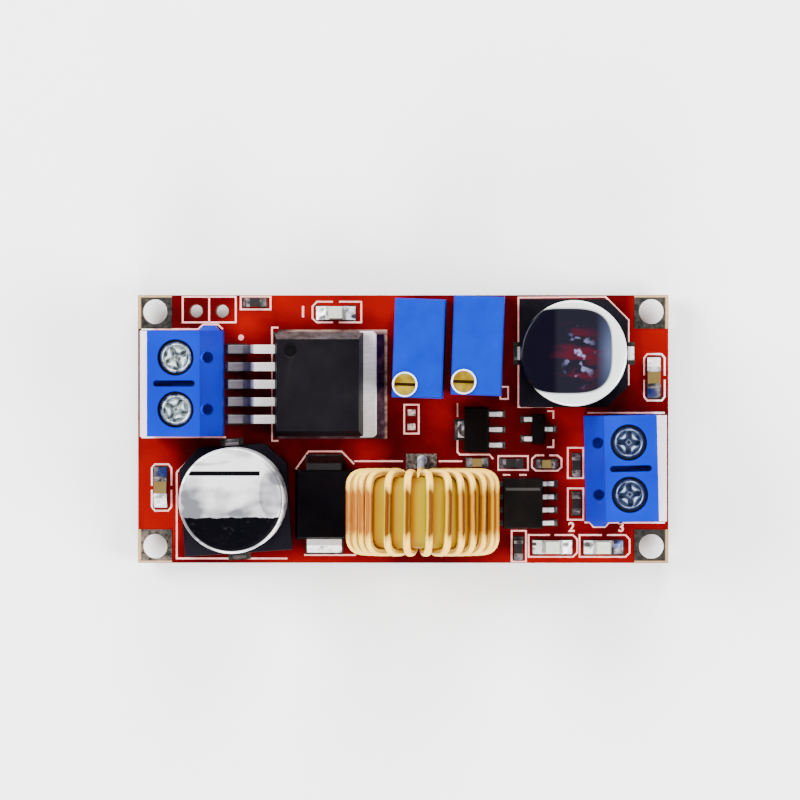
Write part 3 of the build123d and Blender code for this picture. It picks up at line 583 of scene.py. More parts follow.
def makeCoreCoat():
    # Yellow epoxy on the ring, with painted shade: orange beside each turn's right flank, and orange growing
    # to the right, low down and in the bore.
    f = Finish("coreCoat", Specular_IOR_Level=0.04)
    peel = f.noise(3.0, 3.0)
    cloud = f.noise(0.5, 2.0)
    # painted shade beside each turn, growing to the right and low down
    gap = ((f.attribute("gap") - 0.2) * 1.8 + (cloud - 0.5) * 0.4).clamped()
    fall = 1.0 - f.along((0, 0, 1)).above(heights["coreShade"], 3.4)
    right = f.along((1, 0, 0)).above(4.7, 3.4)
    colour = f.mix(gap, (0.215, 0.076, 0.0), (0.238, 0.180, 0.0))
    colour = f.mix(right * 0.85, colour, (0.240, 0.080, 0.0))
    return f.use(
        Base_Color=f.mix(fall * 0.7, colour, (0.195, 0.085, 0.0)),
        Roughness=0.38 + peel * 0.12,
        Normal=f.bump(peel, 0.2, 0.05),
    )


def makeEnamelWire():
    # Clear-enamelled copper, coloured with painted light. Bends carry a bright cream painted highlight; the
    # straight runs have a cream painted highlight on the left flank (peach at the left end, orange in
    # painted shade at the right), a brown painted reflection along the crown, and painted shade between the
    # turns.
    f = Finish("enamelWire", Coat_Roughness=0.15, Specular_IOR_Level=0.05)
    marks = f.noise(3.0, 4.0, 0.6, place=f.stretched(1, 0.15, 1))
    cloud = f.noise(0.6, 3.0)
    x, y = f.spot()
    across = f.attribute("side") * 0.5 + 0.5 + (cloud - 0.5) * 0.2
    middle = f.attribute("middle")
    leftEnd = 1.0 - x.above(-2.6, 1.2)
    rightEnd = x.above(4.9, 3.0)
    # painted light across the wire: highlight on the left flank, dark reflection on the crown, shade on the
    # right
    stops = (
        (0.0, (0.22, 0.095, 0.002)),
        (0.12, (0.46, 0.30, 0.01)),
        (0.28, (0.38, 0.21, 0.004)),
        (0.43, (0.100, 0.032, 0.0)),
        (0.78, (0.070, 0.018, 0.0)),
        (0.92, (0.165, 0.070, 0.0)),
        (1.0, (0.08, 0.025, 0.0)),
    )
    run = f.add("ShaderNodeValToRGB", {"stops": stops}, {0: across})
    crown = across.between(0.36, 0.95, 0.2)
    peach = f.mix(crown, (0.70, 0.28, 0.05), (0.23, 0.070, 0.006))
    orange = f.mix(crown, (0.36, 0.135, 0.0), (0.060, 0.015, 0.0))
    run = f.mix(rightEnd * 0.9, f.mix(leftEnd, run, peach), orange)
    # painted highlight on the bends
    bend = f.mix(cloud, (0.88, 0.46, 0.03), (0.94, 0.64, 0.13))
    flank = abs(f.attribute("side"))
    colour = f.mix((middle * 2.1 + 0.05 - flank * 0.5 + (cloud - 0.5) * 0.9).clamped(), bend, run)
    tinned = y.above(-3.70, 0.06) * x.between(1.2, 2.5)
    colour = f.mix(tinned, colour, f.mix(cloud, (0.04, 0.05, 0.12), (0.60, 0.60, 0.64)))
    return f.use(
        # painted shade at the flanks between turns
        Base_Color=f.mix(flank.above(0.93, 0.1) * 0.6, colour, (0.10, 0.025, 0.001)),
        Metallic=0.05 + cloud * 0.05,
        Roughness=0.34 + marks * 0.14,
        Coat_Weight=0.02 + cloud * 0.04,
        Normal=f.bump(marks, 0.10, 0.03),
    )


def makeScrewMetal(name, low, high, stroke):
    # Plated screw: a painted reflection of the blue walls darkens the metal in the cross, and a painted
    # highlight brightens the recess faces and the rim.
    f = Finish(name)
    # painted highlight, read from the points of the head
    shine = f.attribute("shine")
    lump = f.noise(1.6, 3.0)
    scratch = f.noise(8.0, 4.0, 0.6)
    share = (shine + (lump - 0.5) * stroke + stroke * 0.12).clamped()
    return f.use(
        Base_Color=f.mix(share, low, high),
        Metallic=0.75 - share * 0.45,
        Roughness=0.24 + scratch * 0.2,
        Normal=f.bump(lump * stroke + scratch * 0.3, 0.35, 0.08),
    )


def makeLens():
    # Milky lamp resin in soft clouds of two tones.
    f = Finish("lampResin", IOR=1.5, Transmission_Weight=0.15, Specular_IOR_Level=0.3)
    cloud = f.noise(2.0, 3.0)
    colour = f.mix(cloud, (0.44, 0.50, 0.34), (0.80, 0.84, 0.72))
    return f.use(Base_Color=colour, Roughness=0.3 + cloud * 0.2, Normal=f.bump(cloud, 0.2, 0.05))


def makeCeramic(name, low, high):
    # Fired ceramic: speckled, waxy.
    f = Finish(name, Specular_IOR_Level=0.25)
    speck = f.noise(9.0, 5.0, 0.7)
    cloud = f.noise(0.8, 2.0)
    colour = f.mix((speck * 0.7 + cloud * 0.5 - 0.1).clamped(), low, high)
    return f.use(Base_Color=colour, Roughness=0.38 + speck * 0.2, Normal=f.bump(speck, 0.25, 0.03))


print("finishes")
canPlaces = {"input": (-16.25, -6.8), "output": (16.61, 7.35)}
finishes = {
    "solder_mask": makeSolderMask("boardMask", (0.030, 0.0, 0.0003), (0.18, 0.0002, 0.0006)),
    "tinned_copper": makeLand(),
    "solder": makeSolder(),
    "terminal_plastic": makeTerminalPlastic(),
    "plated_contact": makeMetal("platedContact", (0.30, 0.30, 0.29), (0.60, 0.60, 0.58), 0.3, (1, 4, 1)),
    "plated_screw": makeMetal(
        "zincScrew", (0.20, 0.24, 0.30), (0.75, 0.80, 0.86), 0.25, (1, 1, 1), 4.0, 0.3, 0.3
    ),
    "trimmer_plastic": makePlastic(
        "trimmerBlue", (0.0, 0.010, 0.23), (0.0, 0.017, 0.28), 0.38, shine=0.06, worn=0.06
    ),
    "trimmer_seal": makePlastic("pottingResin", (0.30, 0.26, 0.16), (0.45, 0.40, 0.27), 0.5),
    "brass_screw": makeBrass(),
    # painted highlight: the collar's pale bluish white stands for the bright ring of light round the brass
    # screw
    "white_collar": makePlastic("collarPaleHighlight", (0.55, 0.62, 0.72), (0.80, 0.84, 0.90), 0.35),
    "carriage_plastic": makePlastic("carriageNatural", (0.45, 0.42, 0.34), (0.60, 0.57, 0.48), 0.45),
    "element_ceramic": makeCeramic("elementCeramic", (0.50, 0.48, 0.43), (0.65, 0.63, 0.58)),
    "black_seat": makePlastic(
        "seatBlack", (0.0022, 0.0016, 0.0030), (0.0060, 0.0050, 0.0090), 0.5, 7.0, 0.25, 0.05
    ),
    "tinned_lead": makeLead(),
    "core_coating": makeCoreCoat(),
    "enamelled_wire": makeEnamelWire(),
    "black_moulding": makePlastic(
        "mouldingBlack", (0.0010, 0.0004, 0.0004), (0.0036, 0.0020, 0.0020), 0.5, 8.0, 0.35, 0.03, 0.1
    ),
    "lamp_base": makePlastic("lampLaminate", (0.42, 0.42, 0.33), (0.58, 0.58, 0.50), 0.4),
    "lamp_lens": makeLens(),
    "end_cap": makeCapTin(),
    "resistor_glaze": makePlastic(
        "resistorGlaze", (0.006, 0.006, 0.007), (0.016, 0.014, 0.014), 0.34, 9.0, 0.2, 0.2
    ),
    "ceramic_tan": makeCeramic("ceramicTan", (0.085, 0.052, 0.010), (0.17, 0.115, 0.030)),
}
silkInk = makeSilkInk()
inputCanMetal = makeInputCan()
outputCanMetal = makeOutputCan()
screwMetals = {
    # the same plated screws on both blocks, coloured apart by painted light and reflection
    "input": makeScrewMetal("inputScrewZinc", (0.045, 0.065, 0.080), (0.74, 0.84, 0.80), 2.2),
    "output": makeScrewMetal("outputScrewZinc", (0.006, 0.018, 0.065), (0.50, 0.60, 0.76), 0.4),
}


# Making and placing pieces
def linked(name, data):
    holder = bpy.data.objects.new(name, data)
    bpy.context.scene.collection.objects.link(holder)
    return holder


def settle(name, mesh, material, body="root", stands=(), smooth=None):
    piece = linked(name, mesh)
    if smooth:
        smoothBy(mesh, smooth)
    mesh.materials.clear()
    mesh.materials.append(material)
    if stands:
        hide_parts(*stands)
    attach(piece, body)
    return piece


def smoothBy(mesh, degrees):
    mesh.polygons.foreach_set("use_smooth", [True] * len(mesh.polygons))
    mesh.set_sharp_from_angle(angle=math.radians(degrees))


# Quads over points[u, v]; a closed direction joins its last row to its first. Tones are named
# values on the points, which a finish can read.
def gridMesh(name, points, closedU, closedV, **tones):
    rows, columns = points.shape[:2]
    index = np.arange(rows * columns).reshape(rows, columns)
    if closedU:
        index = np.vstack([index, index[:1]])
    if closedV:
        index = np.hstack([index, index[:, :1]])
    quads = np.stack([index[:-1, :-1], index[1:, :-1], index[1:, 1:], index[:-1, 1:]], axis=-1)
    mesh = bpy.data.meshes.new(name)
    mesh.from_pydata((points.reshape(-1, 3) * mm).tolist(), [], quads.reshape(-1, 4).tolist())
    for key, values in tones.items():
        mesh.attributes.new(key, "FLOAT", "POINT").data.foreach_set("value", values.ravel())
    work = bmesh.new()
    work.from_mesh(mesh)
    bmesh.ops.remove_doubles(work, verts=work.verts, dist=1e-7)
    bmesh.ops.holes_fill(work, edges=[e for e in work.edges if e.is_boundary], sides=0)
    bmesh.ops.recalc_face_normals(work, faces=work.faces)
    work.to_mesh(mesh)
    work.free()
    return mesh


# A turned form: profile rows are (radius, height), carried round a vertical axis
def turned(name, profile, centre, steps=72):
    profile = np.array(profile, float)
    angle = np.linspace(0, 2 * np.pi, steps, endpoint=False)[:, None]
    x = centre[0] + profile[:, 0] * np.cos(angle)
    y = centre[1] + profile[:, 0] * np.sin(angle)
    z = centre[2] + profile[:, 1] + 0 * angle
    return gridMesh(name, np.stack([x, y, z], axis=-1), True, False)


# Points of a circle's arc, from start to end in degrees
def arc(middle, radius, start, end, steps=6):
    a = np.radians(np.linspace(start, end, steps))
    return np.stack([middle[0] + radius * np.cos(a), middle[1] + radius * np.sin(a)], axis=1)


# A CAD node's own mesh with its points merged and its hard edges rounded by edge mm
def softened(node, edge, material=None, reshape=None, steps=2, sharp=35):
    work = bmesh.new()
    work.from_mesh(nodes[node].data)
    bmesh.ops.remove_doubles(work, verts=work.verts, dist=2e-6)
    bmesh.ops.dissolve_limit(work, angle_limit=math.radians(1.0), verts=work.verts, edges=work.edges)
    mesh = bpy.data.meshes.new(node + "Edged")
    work.to_mesh(mesh)
    work.free()
    if reshape:
        points = np.zeros(3 * len(mesh.vertices))
        mesh.vertices.foreach_get("co", points)
        mesh.vertices.foreach_set("co", reshape(points.reshape(-1, 3) / mm).ravel() * mm)
    material = material or finishes[slotOf[node]]
    piece = settle(node + "_edged", mesh, material, bodyOf[node], [node])
    bevel = piece.modifiers.new("edge", "BEVEL")
    bevel.width = edge * mm
    bevel.segments = steps
    bevel.limit_method = "ANGLE"
    bevel.angle_limit = math.radians(sharp)
    bevel.harden_normals = True
    smoothBy(mesh, sharp)
    return piece


# CAD nodes keep their shape. Those with visible hard edges get them rounded.
edgeSizes = {
    "terminal_housing": 0.09,
    "trimmer_housing": 0.10,
    "capacitor_base": 0.14,
    "capacitor_terminals": 0.05,
    "regulator_body": 0.14,
    "regulator_tab": 0.10,
    "regulator_leads": 0.08,
    "diode_body": 0.10,
    "diode_terminals": 0.06,
    "amplifier_body": 0.06,
    "amplifier_leads": 0.04,
    "reference_body": 0.05,
    "reference_leads": 0.04,
    "resistor_bodies": 0.03,
    "end_caps": 0.05,
    "ceramic_capacitor_bodies": 0.05,
    "led_lenses": 0.07,
    "trimmer_screw": 0.06,
    "trimmer_pins": 0.05,
    "contacts": 0.06,
}
# The regulator's top face lies between these places in Y: its rear slope is the wider one
regulatorTop = {"front": -0.18, "rear": 8.72, "above": 5.9}


def slopedRegulator(points):
    onTop = points[:, 2] > regulatorTop["above"]
    y = points[onTop, 1]
    share = (y - y.min()) / (y.max() - y.min())
    points[onTop, 1] = regulatorTop["front"] + share * (regulatorTop["rear"] - regulatorTop["front"])
    return points


ownFinish = {
    "regulator_body": makeRegulatorBody(),
    "diode_body": makePlastic(
        "diodeBlack", (0.0006, 0.0003, 0.0007), (0.0022, 0.0014, 0.0020), 0.5, 8.0, 0.3, 0.03, 0.1
    ),
    "amplifier_body": makePlastic(
        "amplifierBlack", (0.0014, 0.0009, 0.0008), (0.0060, 0.0045, 0.0038), 0.5, 3.0, 0.4, 0.04, 0.3
    ),
}
reshapes = {"regulator_body": slopedRegulator}
drawnHere = ("capacitor_can", "inductor_core", "inductor_winding", "screw_rear", "screw_front")
plain = []
for node in sorted(nodes):
    size = next((edgeSizes[tail] for tail in edgeSizes if node.endswith(tail)), None)
    if node.endswith(drawnHere):
        continue
    if size:
        softened(node, size, ownFinish.get(node), reshapes.get(node))
    else:
        mesh = nodes[node].data
        mesh.materials.clear()
        mesh.materials.append(finishes[slotOf[node]])
        plain.append(node)
print("rounded edges on", len(nodes) - len(plain), "nodes, plain:", ", ".join(plain))


# Can capacitors
can = {
    "radius": 5.08,
    "bottom": padTop + 0.8,
    "top": padTop + 10.2,
    "waist": 4.66,
    "waistAt": 1.5,
    "waistHalf": 0.38,
    "rim": 0.24,
    "dish": 0.05,
    "shoulder": 0.35,
    "swell": 0.8,
}


# Up the wall past the crimp, round the rim, over a shallow dish to the middle
def canProfile():
    r = can["radius"]
    height = can["top"] - can["bottom"]
    t = np.linspace(-1, 1, 13)
    dip = (r - can["waist"]) * 0.5 * (1 + np.cos(np.pi * t))
    crimp = np.stack([r - dip, can["waistAt"] + t * can["waistHalf"]], axis=1)
    rim = arc((r - can["rim"], height - can["rim"]), can["rim"], 0, 90, 9)
    s = np.linspace(0, 1, 5)
    inner = r - can["rim"] - can["shoulder"]
    drop = can["dish"] * (3 * s**2 - 2 * s**3)
    step = np.stack([r - can["rim"] - s * can["shoulder"], height - drop], axis=1)
    s = np.linspace(0, 1, 10)[1:]
    swell = can["dish"] * (1 - (1 - s) ** 2) * can["swell"]
    cap = np.stack([inner * (1 - s), height - can["dish"] + swell], axis=1)
    return np.vstack([[(0, 0)], [(r, 0)], crimp, rim, step, cap])


for name, metal in (("input", inputCanMetal), ("output", outputCanMetal)):
    mesh = turned(name + "Can", canProfile(), canPlaces[name] + (can["bottom"],), 96)
    settle(name + "_can_drawn", mesh, metal, "root", [name + "_capacitor_can"], 60)
print("cans")


# Terminal screws: a disc of rows at growing radius, then the side, the neck and the shank.
# The cross is cut by height: four arms, and a square pit whose sides slope to its floor.
crossScrew = {
    "head": 1.52,
    "edge": 0.16,
    "headHeight": 1.25,
    "shank": 1.2,
    "armHalf": 0.17,
    "armReach": 1.12,
    "armDeep": 0.5,
    "pitReach": 0.86,
    "pitFloor": 0.50,
    "pitDeep": 0.34,
    "step": 0.07,
    "ring": 1.22,
    "ringDeep": 0.05,
}


# Depth of the recess and the painted highlight on its faces, its rim and its middle, over points of the head
def crossDepth(x, y):
    s = crossScrew
    diagonal = (np.abs(x) + np.abs(y)) / math.sqrt(2)
    pit = np.clip((s["pitReach"] - diagonal) / (s["pitReach"] - s["pitFloor"]), 0, 1) * s["pitDeep"]
    far = np.maximum(np.abs(x), np.abs(y))
    near = np.minimum(np.abs(x), np.abs(y))
    arm = np.clip((s["armHalf"] - near) / s["step"] + 0.5, 0, 1)
    arm = arm * np.clip((s["armReach"] - far) / s["step"] + 0.5, 0, 1)
    face = np.clip(1.4 - np.abs(diagonal - 0.5 * (s["pitReach"] + s["pitFloor"])) / 0.12, 0, 1)
    face = face * np.clip((near - s["armHalf"] - 0.1) / 0.08, 0, 1)
    radius = np.hypot(x, y)
    ring = np.clip(1 - np.abs(radius - s["ring"]) / 0.1, 0, 1)
    centre = np.clip(1 - np.abs(diagonal - 0.2) / 0.08, 0, 1) * 0.45
    shine = np.clip(face + 0.2 * ring + centre, 0, 1)
    return np.maximum(pit, arm * s["armDeep"]) + s["ringDeep"] * ring, shine


def crossScrewMesh(node, turn):
    s = crossScrew
    low, high = (np.array(corner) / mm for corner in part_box(node))
    middle = (low + high) / 2
    rows = np.linspace(0, s["head"] - s["edge"], 34)
    angle = np.linspace(0, 2 * np.pi, 96, endpoint=False)[:, None]
    x = rows * np.cos(angle)
    y = rows * np.sin(angle)
    depth, shine = crossDepth(x, y)
    below = np.array(
        [
            (s["head"] - s["edge"] * 0.3, s["edge"] * 0.3),
            (s["head"], s["edge"]),
            (s["head"], s["headHeight"]),
            (s["shank"], s["headHeight"]),
            (s["shank"], high[2] - low[2]),
            (0, high[2] - low[2]),
        ]
    )
    x = np.hstack([x, below[:, 0] * np.cos(angle)])
    y = np.hstack([y, below[:, 0] * np.sin(angle)])
    depth = np.hstack([depth, below[:, 1] + 0 * angle])
    shine = np.hstack([shine, 0.1 + 0 * below[:, 0] + 0 * angle])
    cos, sin = math.cos(turn), math.sin(turn)
    turnedX = middle[0] + x * cos - y * sin
    turnedY = middle[1] + x * sin + y * cos
    points = np.stack([turnedX, turnedY, high[2] - depth], axis=-1)
    return gridMesh(node + "Cross", points, True, False, shine=shine)


screwTurns = {
    "input_screw_rear": 25,
    "input_screw_front": 62,
    "output_screw_rear": -3,
    "output_screw_front": 8,
}
for node, degrees in screwTurns.items():
    mesh = crossScrewMesh(node, math.radians(degrees))
    settle(node + "_cross", mesh, screwMetals[node.split("_")[0]], bodyOf[node], [node], 30)
print("terminal screws")


# Ring inductor: the ring and its winding lie round an axis along Y
ring = {
    "centre": (2.05, -7.9, boardTop + 0.15 + 7.11 + 0.36),
    "outer": 6.7,
    "inner": 3.7,
    "width": 6.8,
    "round": 1.25,
}
winding = {
    "seen": (-80, -63.4, -54.4, -45.4, -27.1, -11.1, 6.3, 21.1, 32.3, 43.6, 56.1, 69.4, 84),
    "hiddenLeft": 6,
    "hiddenRight": 7,
    "stepLeft": 14.17,
    "stepRight": 11.63,
    "boreStep": 13.2,
    "boreMiddle": 0.5,
    "radius": 7.07,
    "boreRadius": 3.29,
    "halfWidth": 3.81,
    "wire": 0.36,
    "corner": 1.45,
    "sides": 14,
    "cornerSteps": 7,
    "runSteps": 5,
    "sway": 0.5,
    "swayRate": 0.37,
    "frontLeadIn": 2.2,
    "rearLead": (-0.26, 4.78),
    "rearBends": (-5.4, -6.61),
    "leadEnd": -1.6,
}


# Points at angles from the top of the ring, as an array of rows
def ringAt(angle, radius, y):
    a = np.radians(angle)
    return np.stack([radius * np.sin(a), y + 0 * a, radius * np.cos(a)], axis=-1)


# Every bend of the wire in turn order: outside, across the front, bore, across the back
def windingCorners():
    w = winding
    left = w["seen"][0] - w["stepLeft"] * np.arange(w["hiddenLeft"], 0, -1)
    right = w["seen"][-1] + w["stepRight"] * np.arange(1, w["hiddenRight"] + 1)
    outer = np.concatenate([left, w["seen"], right])
    middle = w["hiddenLeft"] + len(w["seen"]) // 2
    bore = w["boreMiddle"] + w["boreStep"] * (np.arange(len(outer) + 1) - middle)
    sway = w["sway"] * np.sin(outer * w["swayRate"])
    y = w["halfWidth"]
    turns = np.stack(
        [
            ringAt(outer + sway, w["radius"], y),
            ringAt(outer - sway, w["radius"], -y),
            ringAt(bore[:-1], w["boreRadius"], -y),
            ringAt(bore[1:], w["boreRadius"], y),
        ],
        axis=1,
    ).reshape(-1, 3)
    under = w["leadEnd"] - ring["centre"][2]
    start = turns[0] * (1, 0, 1) + (0, w["frontLeadIn"], 0)
    leadX, leadY = w["rearLead"]
    first, second = w["rearBends"]
    rear = np.array([(leadX, y, first), (leadX, leadY, second), (leadX, leadY, under)])
    return np.vstack([start * (1, 1, 0) + (0, 0, under), start, turns[1:], rear])


# Each bend becomes a quadratic curve between a point before it and a point after it
def windingPath(corners):
    w = winding
    before = corners[:-2] - corners[1:-1]
    after = corners[2:] - corners[1:-1]
    lengthBefore = np.linalg.norm(before, axis=1, keepdims=True)
    lengthAfter = np.linalg.norm(after, axis=1, keepdims=True)
    cut = np.minimum(w["corner"], 0.42 * np.minimum(lengthBefore, lengthAfter))
    a = corners[1:-1] + before / lengthBefore * cut
    b = corners[1:-1] + after / lengthAfter * cut
    t = np.linspace(0, 1, w["cornerSteps"])[None, :, None]
    bend = (1 - t) ** 2 * a[:, None] + 2 * t * (1 - t) * corners[1:-1, None] + t**2 * b[:, None]
    t = np.linspace(0, 1, w["runSteps"] + 2)[None, 1:-1, None]
    run = (1 - t) * b[:-1, None] + t * a[1:, None]
    turns = np.concatenate([bend[:-1], run], axis=1).reshape(-1, 3)
    return np.vstack([corners[:1], turns, bend[-1], corners[-1:]])


# A round section carried along the path, held square to the ring's own sideways direction
def sweptWire(name, path, radius, sides, centre):
    along = np.gradient(path, axis=0)
    along /= np.linalg.norm(along, axis=1, keepdims=True)
    angle = np.arctan2(path[:, 0], path[:, 2])
    sideways = np.stack([np.cos(angle), 0 * angle, -np.sin(angle)], axis=1)
    outward = np.cross(along, sideways)
    outward /= np.linalg.norm(outward, axis=1, keepdims=True)
    sideways = np.cross(outward, along)
    turn = np.linspace(0, 2 * np.pi, sides, endpoint=False)[None, :, None]
    points = path[:, None] + radius * (np.cos(turn) * sideways[:, None] + np.sin(turn) * outward[:, None])
    side = np.cos(turn[:, :, 0]) + 0 * path[:, :1]
    middle = np.clip((3.0 - np.abs(path[:, 1:2])) / 2.0, 0, 1) + 0 * side
    return gridMesh(name, points + np.array(centre), False, True, side=side, middle=middle)


# A rounded rectangle (ring section) carried round the Y axis
def ringCore():
    half = (ring["outer"] - ring["inner"]) / 2
    middle = (ring["outer"] + ring["inner"]) / 2
    wide = ring["width"] / 2
    c = ring["round"]
    x, y = half - c, wide - c
    corners = ((x, y, 0), (-x, y, 90), (-x, -y, 180), (x, -y, 270))
    section = np.vstack([arc(corner[:2], c, corner[2], corner[2] + 90, 8) for corner in corners])
    a = np.linspace(-np.pi, np.pi, 240, endpoint=False)[:, None]
    radius = middle + section[:, 0]
    points = np.stack([radius * np.sin(a), section[:, 1] + 0 * a, radius * np.cos(a)], axis=-1)
    # how far each place is across the gap between two turns, 0 at the left turn; the core's finish paints
    # shade from it
    seen = np.radians(winding["seen"])
    gap = np.interp(a, seen, np.arange(len(seen))) % 1 + 0 * radius
    return gridMesh("ringCore", points + np.array(ring["centre"]), True, True, gap=gap)


coated = finishes["core_coating"]
settle("inductor_core_coated", ringCore(), coated, "root", ["inductor_core"], 50)
wirePath = windingPath(windingCorners())
wireMesh = sweptWire("windingWire", wirePath, winding["wire"], winding["sides"], ring["centre"])
enamel = finishes["enamelled_wire"]
settle("inductor_winding_wire", wireMesh, enamel, "root", ["inductor_winding"], 60)
print("inductor:", len(wirePath), "path points")


# The ball of solder round the winding's rear lead and the dome of solder at the small regulator's tab
ball = {"at": (1.85, -3.02), "radius": 0.52, "bottom": padTop, "height": 0.95}
s = np.linspace(0, 90, 10)
ballRows = np.stack([ball["radius"] * np.cos(np.radians(s)), ball["height"] * np.sin(np.radians(s))], axis=1)
dome = {"middle": (6.02, 0.0, padTop), "reach": (0.74, 0.86), "height": 0.95}
s, a = np.meshgrid(np.radians(np.linspace(0, 90, 10)), np.radians(np.arange(0, 360, 10)))
unitDome = np.stack([np.sin(s) * np.cos(a), np.sin(s) * np.sin(a), np.cos(s)], axis=-1)
domePoints = unitDome * (*dome["reach"], dome["height"]) + np.array(dome["middle"])
domeMesh = gridMesh("dome", domePoints, True, False)
settle("bias_tab_solder", domeMesh, finishes["solder"], smooth=60)
ballMesh = turned("ball", np.vstack([[(0, 0)], ballRows]), ball["at"] + (ball["bottom"],), 32)
settle("lead_solder_ball", ballMesh, finishes["solder"], smooth=60)


# Printed marks
silk = {"width": 0.16, "bottom": boardTop, "top": boardTop + 0.05}
frames = (
    (-21.4, 10.36, -16.24, 12.85),
    (-15.76, 11.62, -12.86, 12.86),
    (9.26, -3.97, 12.13, -2.62),
    (16.0, -4.75, 17.5, -1.82),
    (16.0, -8.8, 17.5, -5.75),
    (10.55, -12.86, 11.94, -9.87),
    (0.12, -0.44, 1.53, 2.36),
    (9.45, 2.93, 10.2, 4.1),
)
openLines = [
    [(-18.83, 12.85), (-18.83, 10.36)],
    [(-6.8, 12.36), (-8.35, 12.36), (-8.79, 11.9), (-8.79, 10.75), (-8.35, 10.36), (-6.8, 10.36)],
    [(-6.2, 12.36), (-4.05, 12.36), (-4.05, 10.36), (-6.2, 10.36)],
    [(-12.1, 9.85), (-12.72, 9.85), (-12.72, -1.15), (-12.1, -1.15)],
    [(13.7, -2.55), (12.9, -2.55), (12.52, -2.9), (12.52, -3.7), (12.9, -4.04)]
    + [(15.0, -4.04), (15.39, -3.7), (15.39, -2.9), (15.0, -2.55), (14.2, -2.55)],
    [(-21.98, -4.2), (-21.98, -12.57), (-11.23, -12.57)],
    [(-21.98, -4.2), (-20.6, -2.8)],
    [(14.5, 2.14), (11.2, 2.14), (11.2, 12.76), (19.64, 12.84), (21.9, 10.58), (21.9, 4.27)],
    [(-10.43, -3.91), (-9.17, -2.17), (-5.96, -2.17), (-4.75, -3.4)],
    [(-9.6, -12.23), (-4.56, -12.23)],
    [(-4.73, -3.12), (0.0, -3.12)],
    [(3.48, -3.12), (5.76, -3.12)],
    [(5.29, 2.53), (5.29, 1.19)],
    [(5.29, -1.04), (5.29, -2.2), (5.5, -2.48), (8.4, -2.48), (8.75, -2.9)],
    [(14.0, 1.75), (14.6, 1.75), (14.6, 1.0)],
    [(14.0, -1.75), (14.6, -1.75), (14.6, -1.0)],
    [(9.7, -4.45), (10.4, -4.45)],
    [(11.3, -4.45), (12.0, -4.45)],
    [(-25.4, 9.70), (-19.9, 9.70), (-19.4, 10.16), (-18.0, 10.16), (-17.5, 9.70)],
    [(-17.2, -0.80), (-25.4, -0.80)],
    [(25.4, 1.58), (17.9, 1.58)],
    [(17.6, -9.06), (18.1, -9.06), (18.5, -9.5), (19.6, -9.5), (20.0, -9.08), (25.4, -9.08)],
]
# Brackets round the large chip capacitors: x at both legs, then y at the open end, the cut, the bar
brackets = (
    (-24.4, -22.5, -5.5, -3.8, -3.42),
    (-24.4, -22.5, -5.9, -7.55, -7.94),
    (23.4, 25.4, 5.2, 6.9, 7.28),
    (23.4, 25.4, 4.8, 3.15, 2.77),
)
for x0, x1, y0, y1, y2 in brackets:
    openLines += [[(x0, y0), (x0, y1), (x0 + 0.3, y2), (x1 - 0.3, y2), (x1, y1), (x1, y0)]]
# Frames of the two front lamps: x at the left, at the cut corners and at the right, then of the rear gap
lampFrames = ((12.19, 16.5, 16.91, 14.27, 14.72), (17.14, 21.6, 22.0, 19.3, 19.8))
for x0, x1, x2, x3, x4 in lampFrames:
    sides = [(x0, -10.28), (x0, -12.4), (x1, -12.4), (x2, -12.0), (x2, -10.7), (x1, -10.28)]
    openLines += [[(x3, -10.28), *sides, (x4, -10.28)]]
filledStrips = ((-25.55, -0.75, -24.25, 9.55), (24.55, -8.95, 25.6, 1.35))
marks = (("1", -9.71, 11.34, 1.5), ("2", 16.36, -9.55, 1.3), ("3", 21.18, -9.55, 1.3))
dot = (-15.73, 8.88, 0.28)


# A mitred ribbon along the points: each corner is moved out along its own bisector
def inkStrip(points, width, closed):
    points = np.array(points, float)
    if closed:
        before = np.roll(points, 1, axis=0)
        after = np.roll(points, -1, axis=0)
    else:
        before = np.vstack([2 * points[:1] - points[1:2], points[:-1]])
        after = np.vstack([points[1:], 2 * points[-1:] - points[-2:-1]])
    into = points - before
    out = after - points
    into /= np.linalg.norm(into, axis=1, keepdims=True)
    out /= np.linalg.norm(out, axis=1, keepdims=True)
    bisector = into + out
    bisector /= np.linalg.norm(bisector, axis=1, keepdims=True)
    across = np.stack([-bisector[:, 1], bisector[:, 0]], axis=1)
    reach = width / 2 / np.maximum((bisector * out).sum(axis=1, keepdims=True), 0.35)
    left = points + across * reach
    right = points - across * reach
    low = 0 * left[:, :1] + silk["bottom"]
    high = 0 * left[:, :1] + silk["top"]
    rows = [np.hstack(pair) for pair in ((left, low), (left, high), (right, high), (right, low))]
    return gridMesh("ink", np.stack(rows, axis=1), closed, True)


# A flat plate over an outline of any number of corners
def plate(outline, bottom, top):
    outline = np.array(outline, float)
    rows = [np.hstack([outline, 0 * outline[:, :1] + level]) for level in (bottom, top)]
    return gridMesh("plate", np.stack(rows), False, True)


def circle(x, y, radius, steps=24):
    return arc((x, y), radius, 0, 360 - 360 / steps, steps)


def numberMesh(text, x, y, size):
    curve = bpy.data.curves.new("mark", "FONT")
    curve.body = text
    curve.size = size
    curve.extrude = 0.5 * (silk["top"] - silk["bottom"])
    curve.offset = 0.03
    curve.align_x = "CENTER"
    curve.align_y = "CENTER"
    curve.resolution_u = 3
    holder = bpy.data.objects.new("mark", curve)
    mesh = bpy.data.meshes.new_from_object(holder)
    middle = 0.5 * (silk["top"] + silk["bottom"])
    mesh.transform(Matrix.Scale(mm, 4) @ Matrix.Translation((x, y, middle)))
    bpy.data.objects.remove(holder)
    return mesh


def joined(name, meshes):
    work = bmesh.new()
    for mesh in meshes:
        work.from_mesh(mesh)
    bmesh.ops.remove_doubles(work, verts=work.verts, dist=1e-8)
    whole = bpy.data.meshes.new(name)
    work.to_mesh(whole)
    work.free()
    return whole


def box(x0, y0, x1, y1):
    return [(x0, y0), (x1, y0), (x1, y1), (x0, y1)]


